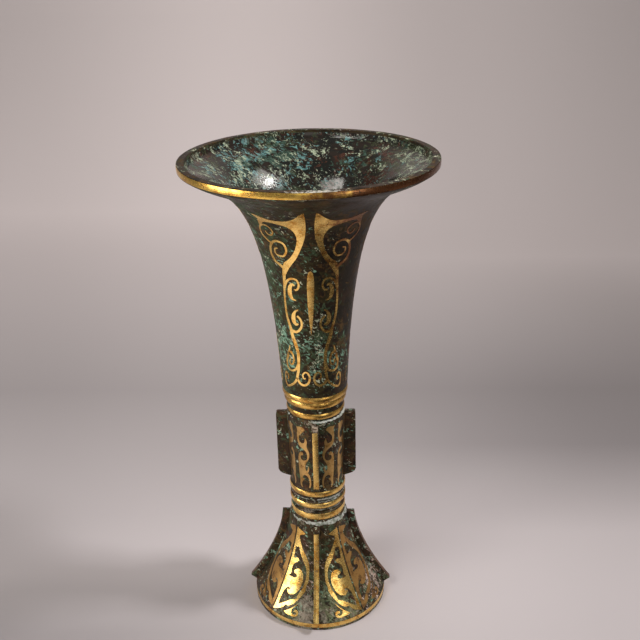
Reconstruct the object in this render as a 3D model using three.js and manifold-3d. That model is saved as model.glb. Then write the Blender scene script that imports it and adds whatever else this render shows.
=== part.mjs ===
import * as THREE from 'three';
import { mergeVertices } from 'three/addons/utils/BufferGeometryUtils.js';
import Module from 'manifold-3d';

// Archaistic bronze gu vase: a trumpet neck, a flanged middle section and a flared foot are cast
// apart and meet in spigots, and gold is inlaid in bands, edge strips and scrolls.
// Millimetres, +Z up. The vase stands on z = 0, its axis is Z and its front faces -Y.

// Fits
const SEAM_GAP = 0.2; // solder line between two castings
const SPIGOT_GAP = 0.3; // radial play of a spigot in its socket
const BEDDING = 0.1; // bedding under a gold inlay
const SPIGOT_LENGTH = 7;
const SPIGOT_WALL = 2.3;

// Foot
const FOOT_RADIUS = 43.8;
const FOOT_EDGE_HEIGHT = 5.6;
const FOOT_RING_WIDTH = 4; // the face that the vase stands on
const SKIRT_HEIGHT = 57;
const SKIRT_TOP_RADIUS = 19;
const SKIRT_WALL = 2.8;
const SKIRT_LEAN = 1; // how far the skirt has opened over SKIRT_STRAIGHT from its top
const SKIRT_STRAIGHT = 18.5;
const SKIRT_REACH = 9.2; // slope of the skirt where it meets the foot's edge
const SKIRT_DROP = 12;
const FOOT_SHOULDER_HEIGHT = 4.8;
const FOOT_COLLAR_RADIUS = 17.5;
const LOWER_GROOVE_HEIGHT = 4.2;
const LOWER_GROOVE_RADIUS = 16.3;
const STEM_RING_RADIUS = 17.7;
const FOOT_TOP_LAND = 1.2;
const FOOT_BORE = 13.3;

// Middle section
const BASE_LIP_RISE = 3.8;
const BASE_LIP_RADIUS = 17.8;
const BODY_BASE_RADIUS = 16.6;
const BODY_TOP_RADIUS = 18.3;
const BODY_COVE_HEIGHT = 1.6;
const BODY_HEIGHT = 48.2;
const SHOULDER_HEIGHT = 2.2;
const SHOULDER_TOP_RADIUS = 17.4;
const STEM_BORE = 14.2;
const FLOOR_SEAT_RISE = 5;
const FLOOR_THICKNESS = 2.5;

// Neck
const COLLAR_FOOT_HEIGHT = 1.2;
const COLLAR_FOOT_RADIUS = 17.1;
const COLLAR_LOWER_RADIUS = 17.9;
const COLLAR_WAIST_HEIGHT = 4.2;
const COLLAR_WAIST_RADIUS = 17.5;
const COLLAR_MIDDLE_RADIUS = 19;
const COLLAR_GROOVE_HEIGHT = 0.7;
const COLLAR_GROOVE_DEPTH = 0.8;
const COLLAR_UPPER_RADIUS = 20;
const NECK_BASE_RADIUS = 20.1;
const NECK_HEIGHT = 138.7;
const NECK_LEAN = 5.9; // how far the neck would open over NECK_STRAIGHT from its base
const NECK_STRAIGHT = 140.7;
const MOUTH_REACH = 21.1; // slope of the mouth's underside where it meets the lip
const MOUTH_DROP = 15.5;
const NECK_WALL = 2.6;
const MOUTH_RADIUS = 73;
const LIP_EDGE_HEIGHT = 3.4;
const LIP_CORNER = 0.4;
const RIM_WIDTH = 2.6;
const RIM_BEVEL = 0.5;

// Gold bands
const BAND_THICKNESS = 1;
const FOOT_RIM_BAND_HEIGHT = 3.2;
const FOOT_RIM_BAND_RISE = 1.9; // bare bronze below the foot's gold band
const FOOT_COLLAR_BAND_HEIGHT = 4.4;
const STEM_RING_BAND_HEIGHT = 3.8;
const BASE_BAND_HEIGHT = 3.8;
const COLLAR_LOWER_BAND_HEIGHT = 3.6;
const COLLAR_MIDDLE_BAND_HEIGHT = 3.8;
const COLLAR_UPPER_BAND_HEIGHT = 3.8;
const LIP_BAND_HEIGHT = 2.4;

// Flanges and their gold edge strips
const FLANGES = 4;
const FLANGE_THICKNESS = 3.8;
const MIDDLE_FLANGE_RADIUS = 25;
const MIDDLE_FLANGE_TOP_DROP = 0.4;
const MIDDLE_FLANGE_CHAMFER = 4.8;
const MIDDLE_FLANGE_TOE = 1.2;
const FOOT_FLANGE_PROUD = 4.8;
const FLANGE_ROOT = 0.6; // how deep a flange's root lies in the wall
const STRIP_THICKNESS = 1;
const STRIP_WIDTH = 3.4;

// Scroll inlays
const NECK_LEAVES = 3;
const INLAY_THICKNESS = 0.5;
const SCROLL_MARGIN = 3.5; // bare bronze above the collar, below the neck's scrolls
const HORN_MARGIN = 14.6; // bare bronze below the lip, above the neck's scrolls
const MIDDLE_SCROLL_MARGIN = 1.4;
const FOOT_SCROLL_MARGIN = 1.9;

// Turned walls have this many sides in each twelfth of a turn, so that thirds and quarters match
const SIDES_PER_TWELFTH = 3;
const TWELFTH = 30; // degrees
const CURVE_STEPS = 8;

// Heights of the seams and bands, from the ground up
const skirtTop = FOOT_EDGE_HEIGHT + SKIRT_HEIGHT;
const footCollarLow = skirtTop + FOOT_SHOULDER_HEIGHT;
const footCollarHigh = footCollarLow + FOOT_COLLAR_BAND_HEIGHT;
const stemRingLow = footCollarHigh + LOWER_GROOVE_HEIGHT;
const stemRingHigh = stemRingLow + STEM_RING_BAND_HEIGHT;
const footTop = stemRingHigh + FOOT_TOP_LAND;
const baseBandLow = footTop + BASE_LIP_RISE;
const baseBandHigh = baseBandLow + BASE_BAND_HEIGHT;
const bodyLow = baseBandHigh + BODY_COVE_HEIGHT;
const bodyHigh = bodyLow + BODY_HEIGHT;
const middleTop = bodyHigh + SHOULDER_HEIGHT;
const collarLowerLow = middleTop + COLLAR_FOOT_HEIGHT;
const collarLowerHigh = collarLowerLow + COLLAR_LOWER_BAND_HEIGHT;
const collarMiddleLow = collarLowerHigh + COLLAR_WAIST_HEIGHT;
const collarMiddleHigh = collarMiddleLow + COLLAR_MIDDLE_BAND_HEIGHT;
const collarUpperLow = collarMiddleHigh + COLLAR_GROOVE_HEIGHT;
const neckLow = collarUpperLow + COLLAR_UPPER_BAND_HEIGHT;
const lipLow = neckLow + NECK_HEIGHT;
const lipTop = lipLow + LIP_EDGE_HEIGHT;
const lipBandLow = lipLow + (LIP_EDGE_HEIGHT - LIP_BAND_HEIGHT) / 2;

const wasm = await Module();
wasm.setup();

const bronze = { color: 0x35382c, roughness: 0.55, metalness: 0.6 };
const gold = { color: 0xd09a3c, roughness: 0.32, metalness: 1 };

/** A solid for cutting and joining, from a closed geometry. */
function toSolid(geometry) {
  const bare = geometry.clone();
  bare.deleteAttribute('normal');
  bare.deleteAttribute('uv');
  const merged = mergeVertices(bare, 1e-5);
  return new wasm.Manifold(new wasm.Mesh({
    numProp: 3,
    vertProperties: new Float32Array(merged.attributes.position.array),
    triVerts: new Uint32Array(merged.index.array),
  }));
}

/** A geometry from a solid. */
function toGeometry(solid) {
  const mesh = solid.getMesh();
  const geometry = new THREE.BufferGeometry();
  geometry.setAttribute('position', new THREE.BufferAttribute(new Float32Array(mesh.vertProperties), 3));
  geometry.setIndex(new THREE.BufferAttribute(new Uint32Array(mesh.triVerts), 1));
  geometry.computeVertexNormals();
  return geometry;
}

/** A named piece with a finish of its own. */
function piece(name, geometry, finish) {
  const mesh = new THREE.Mesh(geometry, new THREE.MeshStandardMaterial(finish));
  mesh.name = name;
  return mesh;
}

/** A closed [radius, height] profile, anticlockwise, turned about the axis. */
function turn(profile) {
  const ring = [...profile, profile[0]].map(([radius, height]) => new THREE.Vector2(radius, height));
  return new THREE.LatheGeometry(ring, 12 * SIDES_PER_TWELFTH).rotateX(Math.PI / 2);
}

/** Points on a Bezier from [radius, height] start to end, with a handle at each. */
function bezier(start, startHandle, endHandle, end) {
  const points = [start, startHandle, endHandle, end].map(([x, y]) => new THREE.Vector2(x, y));
  return new THREE.CubicBezierCurve(...points).getPoints(CURVE_STEPS).map((p) => [p.x, p.y]);
}

/** The neck's outer wall, from the collar up to the lip. */
function neckCurve() {
  const mouth = MOUTH_RADIUS - LIP_CORNER;
  return bezier(
    [NECK_BASE_RADIUS, neckLow],
    [NECK_BASE_RADIUS + NECK_LEAN, neckLow + NECK_STRAIGHT],
    [mouth - MOUTH_REACH, lipLow - MOUTH_DROP],
    [mouth, lipLow],
  );
}

/** The neck's inner wall: each point of the outer wall, moved in square to it. */
function neckBore() {
  const outer = neckCurve();
  return outer.map(([radius, height], i) => {
    const [r0, z0] = outer[Math.max(i - 1, 0)];
    const [r1, z1] = outer[Math.min(i + 1, outer.length - 1)];
    const length = Math.hypot(r1 - r0, z1 - z0);
    return [radius - NECK_WALL * (z1 - z0) / length, height + NECK_WALL * (r1 - r0) / length];
  });
}

/** The skirt's slope at its foot, as a unit vector square to it: [outward, upward]. */
function skirtNormal() {
  const length = Math.hypot(SKIRT_REACH, SKIRT_DROP);
  return [SKIRT_DROP / length, SKIRT_REACH / length];
}

/** A line that follows the skirt from its top to its foot, proud of it by the given distance. */
function skirtCurve(proud, footRadius = FOOT_RADIUS, topRadius = SKIRT_TOP_RADIUS) {
  const [outward, upward] = skirtNormal();
  const top = [topRadius + proud, skirtTop];
  const foot = [footRadius + proud * outward, FOOT_EDGE_HEIGHT + proud * upward];
  return bezier(
    top,
    [top[0] + SKIRT_LEAN, top[1] - SKIRT_STRAIGHT],
    [foot[0] - SKIRT_REACH, foot[1] + SKIRT_DROP],
    foot,
  );
}

/** A groove for a gold band, as a casting's profile runs up it. */
function bandGroove(radius, low, high) {
  const floor = radius - BAND_THICKNESS - BEDDING;
  return [[radius, low], [floor, low], [floor, high], [radius, high]];
}

/** A gold band that lies in such a groove. */
function band(name, radius, low, high) {
  const seat = radius - BAND_THICKNESS;
  const profile = [[seat, low], [radius, low], [radius, high - BEDDING], [seat, high - BEDDING]];
  return piece(name, turn(profile), gold);
}

/** A plate in the plane through the axis, from its [radius, height] outline, turned to one side. */
function plate(outline, thickness, side) {
  const shape = new THREE.Shape(outline.map(([radius, height]) => new THREE.Vector2(radius, height)));
  const geometry = new THREE.ExtrudeGeometry(shape, { depth: thickness, bevelEnabled: false });
  geometry.translate(0, 0, -thickness / 2);
  geometry.rotateX(Math.PI / 2);
  return geometry.rotateZ(side * 2 * Math.PI / FLANGES);
}

function neck() {
  const spigot = STEM_BORE - SPIGOT_GAP;
  const rimInner = MOUTH_RADIUS - RIM_WIDTH;
  const groove = COLLAR_MIDDLE_RADIUS - COLLAR_GROOVE_DEPTH;
  const profile = [
    [spigot, middleTop - SPIGOT_LENGTH],
    [spigot, middleTop + SEAM_GAP],
    [COLLAR_FOOT_RADIUS, middleTop + SEAM_GAP],
    ...bandGroove(COLLAR_LOWER_RADIUS, collarLowerLow, collarLowerHigh),
    [COLLAR_WAIST_RADIUS, (collarLowerHigh + collarMiddleLow) / 2],
    ...bandGroove(COLLAR_MIDDLE_RADIUS, collarMiddleLow, collarMiddleHigh).slice(0, 3),
    [groove, collarMiddleHigh],
    [groove, collarUpperLow],
    ...bandGroove(COLLAR_UPPER_RADIUS, collarUpperLow, neckLow).slice(1, 3),
    ...neckCurve(),
    ...bandGroove(MOUTH_RADIUS, lipBandLow, lipBandLow + LIP_BAND_HEIGHT),
    [MOUTH_RADIUS - LIP_CORNER, lipTop],
    [rimInner, lipTop],
    [rimInner - RIM_BEVEL, lipTop - RIM_BEVEL],
    ...neckBore().reverse().filter(([radius]) => radius < rimInner - RIM_BEVEL),
    [spigot - SPIGOT_WALL, middleTop],
    [spigot - SPIGOT_WALL, middleTop - SPIGOT_LENGTH],
  ];
  return piece('neck', turn(profile), bronze);
}

/** One flange of the middle section, as an outline of radius and height. */
function middleFlangeOutline() {
  const root = STEM_BORE + FLANGE_ROOT;
  const edge = MIDDLE_FLANGE_RADIUS - STRIP_THICKNESS - BEDDING;
  return [
    [root, bodyLow + MIDDLE_FLANGE_TOE],
    [BODY_BASE_RADIUS + MIDDLE_FLANGE_TOE, bodyLow + MIDDLE_FLANGE_TOE],
    [edge, bodyLow + MIDDLE_FLANGE_CHAMFER],
    [edge, bodyHigh - MIDDLE_FLANGE_TOP_DROP],
    [root, bodyHigh - MIDDLE_FLANGE_TOP_DROP],
  ];
}

function middleSection() {
  const spigot = FOOT_BORE - SPIGOT_GAP;
  const profile = [
    [spigot, footTop - SPIGOT_LENGTH],
    [spigot, footTop + SEAM_GAP],
    [BODY_BASE_RADIUS, footTop + SEAM_GAP],
    ...bandGroove(BASE_LIP_RADIUS, baseBandLow, baseBandHigh),
    [BODY_BASE_RADIUS, bodyLow],
    [BODY_TOP_RADIUS, bodyHigh],
    [SHOULDER_TOP_RADIUS, middleTop],
    [STEM_BORE, middleTop],
    [STEM_BORE, footTop + FLOOR_SEAT_RISE],
    [spigot - SPIGOT_WALL, footTop + FLOOR_SEAT_RISE],
    [spigot - SPIGOT_WALL, footTop - SPIGOT_LENGTH],
  ];
  let solid = toSolid(turn(profile));
  for (let side = 0; side < FLANGES; side += 1) {
    solid = solid.add(toSolid(plate(middleFlangeOutline(), FLANGE_THICKNESS, side)));
  }
  return piece('middle_section', toGeometry(solid), bronze);
}

/** One flange of the foot, as an outline of radius and height. */
function footFlangeOutline() {
  const edge = skirtCurve(FOOT_FLANGE_PROUD - STRIP_THICKNESS - BEDDING);
  return [...edge, ...skirtCurve(-FLANGE_ROOT).reverse()];
}

function foot() {
  const inner = skirtCurve(0, FOOT_RADIUS - FOOT_RING_WIDTH, SKIRT_TOP_RADIUS - SKIRT_WALL);
  const rimLow = FOOT_RIM_BAND_RISE;
  const rimHigh = rimLow + FOOT_RIM_BAND_HEIGHT;
  const profile = [
    [FOOT_RADIUS - FOOT_RING_WIDTH, 0],
    [FOOT_RADIUS, 0],
    ...bandGroove(FOOT_RADIUS, rimLow, rimHigh),
    ...skirtCurve(0).reverse(),
    ...bandGroove(FOOT_COLLAR_RADIUS, footCollarLow, footCollarHigh),
    [LOWER_GROOVE_RADIUS, footCollarHigh + FOOT_TOP_LAND],
    [LOWER_GROOVE_RADIUS, stemRingLow - FOOT_TOP_LAND],
    ...bandGroove(STEM_RING_RADIUS, stemRingLow, stemRingHigh),
    [LOWER_GROOVE_RADIUS, footTop],
    [FOOT_BORE, footTop],
    [FOOT_BORE, footTop - SPIGOT_LENGTH - SPIGOT_GAP],
    ...inner,
  ];
  let solid = toSolid(turn(profile));
  for (let side = 0; side < FLANGES; side += 1) {
    solid = solid.add(toSolid(plate(footFlangeOutline(), FLANGE_THICKNESS, side)));
  }
  return piece('foot', toGeometry(solid), bronze);
}

function floorDisc() {
  const radius = STEM_BORE - SPIGOT_GAP;
  const disc = new THREE.CylinderGeometry(radius, radius, FLOOR_THICKNESS, 12 * SIDES_PER_TWELFTH);
  const mesh = piece('floor_disc', disc, bronze);
  mesh.rotation.x = Math.PI / 2;
  mesh.position.z = footTop + FLOOR_SEAT_RISE + SEAM_GAP + FLOOR_THICKNESS / 2;
  return mesh;
}

function bands() {
  return [
    band('lip_band', MOUTH_RADIUS, lipBandLow, lipBandLow + LIP_BAND_HEIGHT),
    band('collar_band_upper', COLLAR_UPPER_RADIUS, collarUpperLow, neckLow),
    band('collar_band_middle', COLLAR_MIDDLE_RADIUS, collarMiddleLow, collarMiddleHigh),
    band('collar_band_lower', COLLAR_LOWER_RADIUS, collarLowerLow, collarLowerHigh),
    band('middle_base_band', BASE_LIP_RADIUS, baseBandLow, baseBandHigh),
    band('stem_ring_band', STEM_RING_RADIUS, stemRingLow, stemRingHigh),
    band('foot_collar_band', FOOT_COLLAR_RADIUS, footCollarLow, footCollarHigh),
    band('foot_rim_band', FOOT_RADIUS, FOOT_RIM_BAND_RISE, FOOT_RIM_BAND_RISE + FOOT_RIM_BAND_HEIGHT),
  ];
}

/** The gold strips that cap the flanges' edges. */
function edgeStrips() {
  const middleOuter = MIDDLE_FLANGE_RADIUS;
  const middleInner = MIDDLE_FLANGE_RADIUS - STRIP_THICKNESS;
  const low = bodyLow + MIDDLE_FLANGE_CHAMFER;
  const high = bodyHigh - MIDDLE_FLANGE_TOP_DROP;
  const middleOutline = [[middleInner, low], [middleOuter, low], [middleOuter, high], [middleInner, high]];
  const footOutline = [
    ...skirtCurve(FOOT_FLANGE_PROUD),
    ...skirtCurve(FOOT_FLANGE_PROUD - STRIP_THICKNESS).reverse(),
  ];
  const strips = [];
  for (let side = 0; side < FLANGES; side += 1) {
    const number = side + 1;
    strips.push(piece(`middle_flange_strip_${number}`, plate(middleOutline, STRIP_WIDTH, side), gold));
    strips.push(piece(`foot_flange_strip_${number}`, plate(footOutline, STRIP_WIDTH, side), gold));
  }
  return strips;
}

/** A wall that scrolls lie on: its [radius, height] line, from bottom to top. */
class Wall {
  constructor(line) {
    this.line = line;
    const skin = BEDDING + INLAY_THICKNESS;
    const outer = line.map(([radius, height]) => [radius + skin, height]);
    const inner = line.map(([radius, height]) => [radius + BEDDING, height]);
    this.layer = toSolid(turn([...outer, ...inner.reverse()]));
    this.reach = 2 * Math.max(...line.map(([radius]) => radius));
  }

  /** The wall's radius, and how much longer its slope is than its rise, at a height. */
  at(height) {
    const above = this.line.findIndex(([, z]) => z >= height);
    const top = this.line[Math.max(above, 1)];
    const low = this.line[Math.max(above, 1) - 1];
    const share = (height - low[1]) / (top[1] - low[1]);
    const slope = Math.hypot(top[0] - low[0], top[1] - low[1]) / (top[1] - low[1]);
    return { radius: low[0] + share * (top[0] - low[0]), slope };
  }

  /** A ribbon outline about a line of [degrees, height, width] points. */
  ribbon(points) {
    const left = [];
    const right = [];
    points.forEach(([angle, height, width], i) => {
      const before = points[Math.max(i - 1, 0)];
      const after = points[Math.min(i + 1, points.length - 1)];
      const { radius, slope } = this.at(height);
      const perDegree = radius * Math.PI / 180;
      const across = (after[0] - before[0]) * perDegree;
      const up = (after[1] - before[1]) * slope;
      const half = width / 2 / Math.hypot(across, up);
      left.push([angle - up * half / perDegree, height + across * half / slope]);
      right.push([angle + up * half / perDegree, height - across * half / slope]);
    });
    return [...left, ...right.reverse()];
  }

  /** A straight prism through the wall, from a [degrees, height] outline, square to the wall at aim. */
  prism(outline, aim) {
    const shape = new THREE.Shape(outline.map(([angle, height]) => {
      const across = THREE.MathUtils.degToRad(angle - aim);
      return new THREE.Vector2(this.at(height).radius * Math.sin(across), height);
    }));
    const geometry = new THREE.ExtrudeGeometry(shape, { depth: this.reach, bevelEnabled: false });
    return toSolid(geometry.rotateX(Math.PI / 2));
  }

  /**
   * Places one inlay: its outlines and ribbons are joined and laid on the wall with the motif's aim
   * to the front, and the piece is turned to where it belongs.
   */
  inlay(name, { aim, outlines, ribbons }, turnBy = 0, mirror = 1) {
    const flip = ([angle, ...rest]) => [mirror * angle, ...rest];
    const all = [
      ...outlines.map((outline) => outline.map(flip)),
      ...ribbons.map((points) => this.ribbon(points.map(flip))),
    ];
    const prisms = all.map((outline) => this.prism(outline, mirror * aim));
    const solid = prisms.reduce((a, b) => a.add(b)).intersect(this.layer);
    const mesh = piece(name, toGeometry(solid), gold);
    mesh.rotation.z = THREE.MathUtils.degToRad(mirror * aim + turnBy);
    return mesh;
  }
}

/** Moves a motif's heights from the sheet that it was drawn on to its place on a wall. */
function stretch(motif, sheetLow, sheetHigh, low, high) {
  const scale = (high - low) / (sheetHigh - sheetLow);
  const move = ([angle, height, ...rest]) => [angle, low + (height - sheetLow) * scale, ...rest];
  return {
    aim: motif.aim,
    outlines: motif.outlines.map((outline) => outline.map(move)),
    ribbons: (motif.ribbons ?? []).map((points) => points.map(move)),
  };
}

// Motifs are drawn for the right half of a panel: degrees from its middle, height, and a ribbon's width.
const neckMotif = {
  aim: TWELFTH,
  outlines: [[
    [4, 281.9], [3.6, 270], [8, 260], [17.4, 249.4], [31, 238.5], [34.6, 239], [34, 243.5], [30, 247.4],
    [18.8, 253.3], [12.7, 262], [15.4, 269.6], [34.3, 272.8], [50.5, 280], [34.6, 274.9], [18, 275.6],
  ]],
  ribbons: [
    [[32.6, 240, 2.4], [37.8, 221, 1.4], [31, 199.5, 2.4], [25, 185, 2.2], [29, 171.2, 1.8]],
    [[33, 242.6, 2.4], [43.4, 249.4, 1.6], [39.4, 259.4, 1.5], [27, 259.4, 1.5], [27.4, 252.6, 1.3],
      [36, 253.4, 1.1]],
    [[38, 259, 1.4], [47, 262.6, 1.3], [44.6, 269, 1.2], [36.6, 268, 1.1]],
    [[36.8, 231, 1.4], [28.6, 236.4, 1.3], [17.4, 235.4, 1.3], [19, 230.2, 1.4], [27.4, 228.6, 2]],
    [[23, 233, 1], [28.4, 229.6, 2.4], [20.8, 223.4, 0.6]],
    [[19, 217.6, 0.6], [27.6, 213, 2.4], [23, 207.4, 1]],
    [[26.4, 212.6, 2], [17, 209.6, 1.4], [20.4, 203.6, 1.4], [33.4, 202.6, 2]],
    [[26, 180, 1.6], [35, 175.6, 1.5], [47, 178.6, 1.5], [38.6, 191.6, 0.6]],
    [[42.6, 186.4, 1.6], [35.6, 184, 1.4], [38.4, 180, 1]],
    [[29.6, 171.6, 1.8], [20, 166.8, 1.6], [9.6, 169.4, 1.5], [11.6, 174.8, 1.3], [18, 174, 1.1]],
    [[29, 172, 1.6], [40, 165.4, 1.5], [54, 164, 1.4], [56.6, 169.4, 1.3], [51.6, 172.6, 1.1]],
  ],
};
const spindleMotif = {
  aim: 0,
  outlines: [[
    [0, 243], [3.2, 240], [4.4, 229], [3, 211], [0, 201], [-3, 211], [-4.4, 229], [-3.2, 240],
  ]],
};
const neckSheet = [162, 282];
const middleMotif = {
  aim: TWELFTH,
  outlines: [[[41, 136.8], [26, 136.4], [20.4, 134.8], [28, 132], [34.6, 129], [38, 130]]],
  ribbons: [
    [[36.8, 131.4, 1.8], [36, 125.6, 1.5], [30, 122.4, 1.6], [20, 119.6, 1.4], [19, 113.4, 1.4],
      [29, 109.4, 2.4], [33.2, 102, 2.8], [34.6, 92, 1]],
    [[25, 121, 1.5], [20, 125, 1.2], [19.6, 128.4, 0.7]],
    [[31.6, 109.4, 1.8], [36, 114, 1.3], [32, 118, 1]],
    [[32, 103.4, 1.6], [21, 103, 1.4], [15.4, 99.6, 1.2], [14.8, 93, 0.8]],
  ],
};
const middleSheet = [92, 137];
const footMotif = {
  aim: TWELFTH,
  outlines: [
    [[41.4, 61], [25, 58], [33.6, 55.6], [39.6, 52]],
    [[42.4, 31.4], [37.6, 28.2], [32.6, 28.2], [29.6, 29.8], [31.2, 32], [27, 33.4], [21.8, 31],
      [21.4, 25], [27, 19.6], [34.6, 19], [37.6, 22], [43, 17]],
  ],
  ribbons: [
    [[41.6, 61, 1], [40.4, 50, 2.4], [41.8, 28, 2.4], [43.6, 7.5, 0.8]],
    [[38, 56.4, 1.6], [25.6, 45.6, 1.4], [14.4, 32, 1.4], [17.6, 22.6, 2], [27.6, 15.6, 2.8],
      [43.4, 7.9, 0.9]],
    [[41.4, 32, 2], [36.6, 38.4, 1.7], [31, 40.4, 0.8]],
  ],
};
const footSheet = [7.5, 61];
const footLeafMotif = {
  aim: TWELFTH,
  outlines: [[
    [36, 8.6], [29, 11.8], [21, 15.8], [25.4, 12.4], [26.4, 10.6], [22.4, 10.8], [21, 9], [24, 7.7], [30, 7.6],
  ]],
};

function neckInlays() {
  const wall = new Wall(neckCurve());
  const place = [...neckSheet, neckLow + SCROLL_MARGIN, lipLow - HORN_MARGIN];
  const scroll = stretch(neckMotif, ...place);
  const spindle = stretch(spindleMotif, ...place);
  const inlays = [];
  for (let leaf = 0; leaf < NECK_LEAVES; leaf += 1) {
    const turnBy = leaf * 360 / NECK_LEAVES;
    const number = leaf + 1;
    inlays.push(wall.inlay(`neck_scroll_${number}_right`, scroll, turnBy));
    inlays.push(wall.inlay(`neck_scroll_${number}_left`, scroll, turnBy, -1));
    inlays.push(wall.inlay(`neck_spindle_${number}`, spindle, turnBy));
  }
  return inlays;
}

function middleInlays() {
  const wall = new Wall([[BODY_BASE_RADIUS, bodyLow], [BODY_TOP_RADIUS, bodyHigh]]);
  const low = bodyLow + MIDDLE_SCROLL_MARGIN;
  const high = bodyHigh - MIDDLE_SCROLL_MARGIN;
  const scroll = stretch(middleMotif, ...middleSheet, low, high);
  const inlays = [];
  for (let side = 0; side < FLANGES; side += 1) {
    const turnBy = side * 360 / FLANGES;
    const number = side + 1;
    inlays.push(wall.inlay(`middle_scroll_${number}_right`, scroll, turnBy));
    inlays.push(wall.inlay(`middle_scroll_${number}_left`, scroll, turnBy, -1));
  }
  return inlays;
}

function footInlays() {
  const wall = new Wall(skirtCurve(0).reverse());
  const place = [...footSheet, FOOT_EDGE_HEIGHT + FOOT_SCROLL_MARGIN, skirtTop - FOOT_SCROLL_MARGIN];
  const panel = stretch(footMotif, ...place);
  const leaf = stretch(footLeafMotif, ...place);
  const inlays = [];
  for (let side = 0; side < FLANGES; side += 1) {
    const turnBy = side * 360 / FLANGES;
    const number = side + 1;
    for (const [half, mirror] of [['right', 1], ['left', -1]]) {
      inlays.push(wall.inlay(`foot_scroll_${number}_${half}`, panel, turnBy, mirror));
      inlays.push(wall.inlay(`foot_leaf_${number}_${half}`, leaf, turnBy, mirror));
    }
  }
  return inlays;
}

const vase = new THREE.Group();
vase.name = 'gu_vase';
vase.add(neck(), middleSection(), foot(), floorDisc());
vase.add(...bands(), ...edgeStrips());
vase.add(...neckInlays(), ...middleInlays(), ...footInlays());

export default vase;
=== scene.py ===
"""Archaistic bronze gu vase: its castings, gold bands and inlaid scrolls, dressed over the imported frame."""

import logging
import math
from collections.abc import Mapping, Sequence
from dataclasses import dataclass, field
from enum import Enum

import bpy
from mathutils import Matrix, Vector


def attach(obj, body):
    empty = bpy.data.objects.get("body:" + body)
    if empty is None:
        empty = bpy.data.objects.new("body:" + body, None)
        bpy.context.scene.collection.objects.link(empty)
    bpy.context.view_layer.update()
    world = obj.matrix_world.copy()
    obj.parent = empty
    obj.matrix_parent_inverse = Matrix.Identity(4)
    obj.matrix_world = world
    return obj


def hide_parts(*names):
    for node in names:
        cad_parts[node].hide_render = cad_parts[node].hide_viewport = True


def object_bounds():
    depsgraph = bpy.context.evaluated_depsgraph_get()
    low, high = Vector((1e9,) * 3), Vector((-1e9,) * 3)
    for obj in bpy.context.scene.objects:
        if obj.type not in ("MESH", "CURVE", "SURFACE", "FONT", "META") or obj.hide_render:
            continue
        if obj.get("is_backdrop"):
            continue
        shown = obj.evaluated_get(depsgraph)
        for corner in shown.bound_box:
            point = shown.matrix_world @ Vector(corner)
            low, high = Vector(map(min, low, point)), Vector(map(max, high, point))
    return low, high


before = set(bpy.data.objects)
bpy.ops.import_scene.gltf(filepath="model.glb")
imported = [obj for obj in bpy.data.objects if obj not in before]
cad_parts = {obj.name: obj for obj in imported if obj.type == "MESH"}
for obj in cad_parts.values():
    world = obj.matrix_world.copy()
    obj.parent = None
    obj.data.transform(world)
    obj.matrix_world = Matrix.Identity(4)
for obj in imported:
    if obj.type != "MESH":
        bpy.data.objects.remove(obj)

LOG = logging.getLogger("gu_vase")
MM = 0.001
BODY = "root"
HAND_WORK_SIZE = 22.0
CASTING_WORK, BAND_WORK = 0.16, 0.12
FLECK_SLANT, FLECK_EDGE, FLECK_SHADE = (0.5, 0.9, 0.3), 0.62, 0.55
FIRST_SHIFT, NEXT_SHIFT, CLUSTER_SHIFT = 0.37, 0.71, 5.0
LEAN_SPAN = 0.6
BAND_SIDES, BAND_ROUNDNESS = 112, 2.4
UPWARD = 0.6
Pair = tuple[float, float]
Triple = tuple[float, float, float]
Colour = Triple
Stroke = Sequence[Pair]
LinePoint = Triple
Piece = bpy.types.Object
Finish = bpy.types.Material
Socket = bpy.types.NodeSocket


class Slot(Enum):
    """The record's material slots."""

    BRONZE = "bronze"
    GOLD = "gold"


class Axis(Enum):
    """The vase's axes: across to the right, away from the viewer, and up."""

    X = 0
    Y = 1
    Z = 2


# Lines


def curve(start: Pair, start_handle: Pair, end_handle: Pair, end: Pair, steps: int) -> list[Pair]:
    """Points on a smooth curve with two handles.

    Args:
        start: First point, as radius and height in millimetres.
        start_handle: Handle of the first point.
        end_handle: Handle of the last point.
        end: Last point.
        steps: How many stretches the curve is cut into.

    Returns:
        The points, both ends among them.
    """
    points = []
    for i in range(steps + 1):
        t = i / steps
        weights = ((1 - t) ** 3, 3 * t * (1 - t) ** 2, 3 * t * t * (1 - t), t**3)
        corners = (start, start_handle, end_handle, end)
        points.append(tuple(sum(w * c[axis] for w, c in zip(weights, corners)) for axis in (0, 1)))
    return points


def spline(points: Sequence[Sequence[float]], step: float) -> list[tuple[float, ...]]:
    """A smooth line through points.

    Args:
        points: Points of any length, of which the first two values are a place.
        step: About how far apart the new points are.

    Returns:
        Points on the line, the given ones among them.
    """
    if len(points) < 3:
        return [tuple(p) for p in points]
    ghost_first = [2 * a - b for a, b in zip(points[0], points[1])]
    ghost_last = [2 * a - b for a, b in zip(points[-1], points[-2])]
    knots = [ghost_first, *points, ghost_last]
    line: list[tuple[float, ...]] = []
    for p0, p1, p2, p3 in zip(knots, knots[1:], knots[2:], knots[3:]):
        times = [0.0]
        for a, b in ((p0, p1), (p1, p2), (p2, p3)):
            times.append(times[-1] + max(math.dist(a[:2], b[:2]), 1e-6) ** 0.5)
        count = max(1, round(math.dist(p1[:2], p2[:2]) / step))
        for i in range(count):
            t = times[1] + (times[2] - times[1]) * i / count
            line.append(_point_at((p0, p1, p2, p3), times, t))
    line.append(tuple(points[-1]))
    return line


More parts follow.
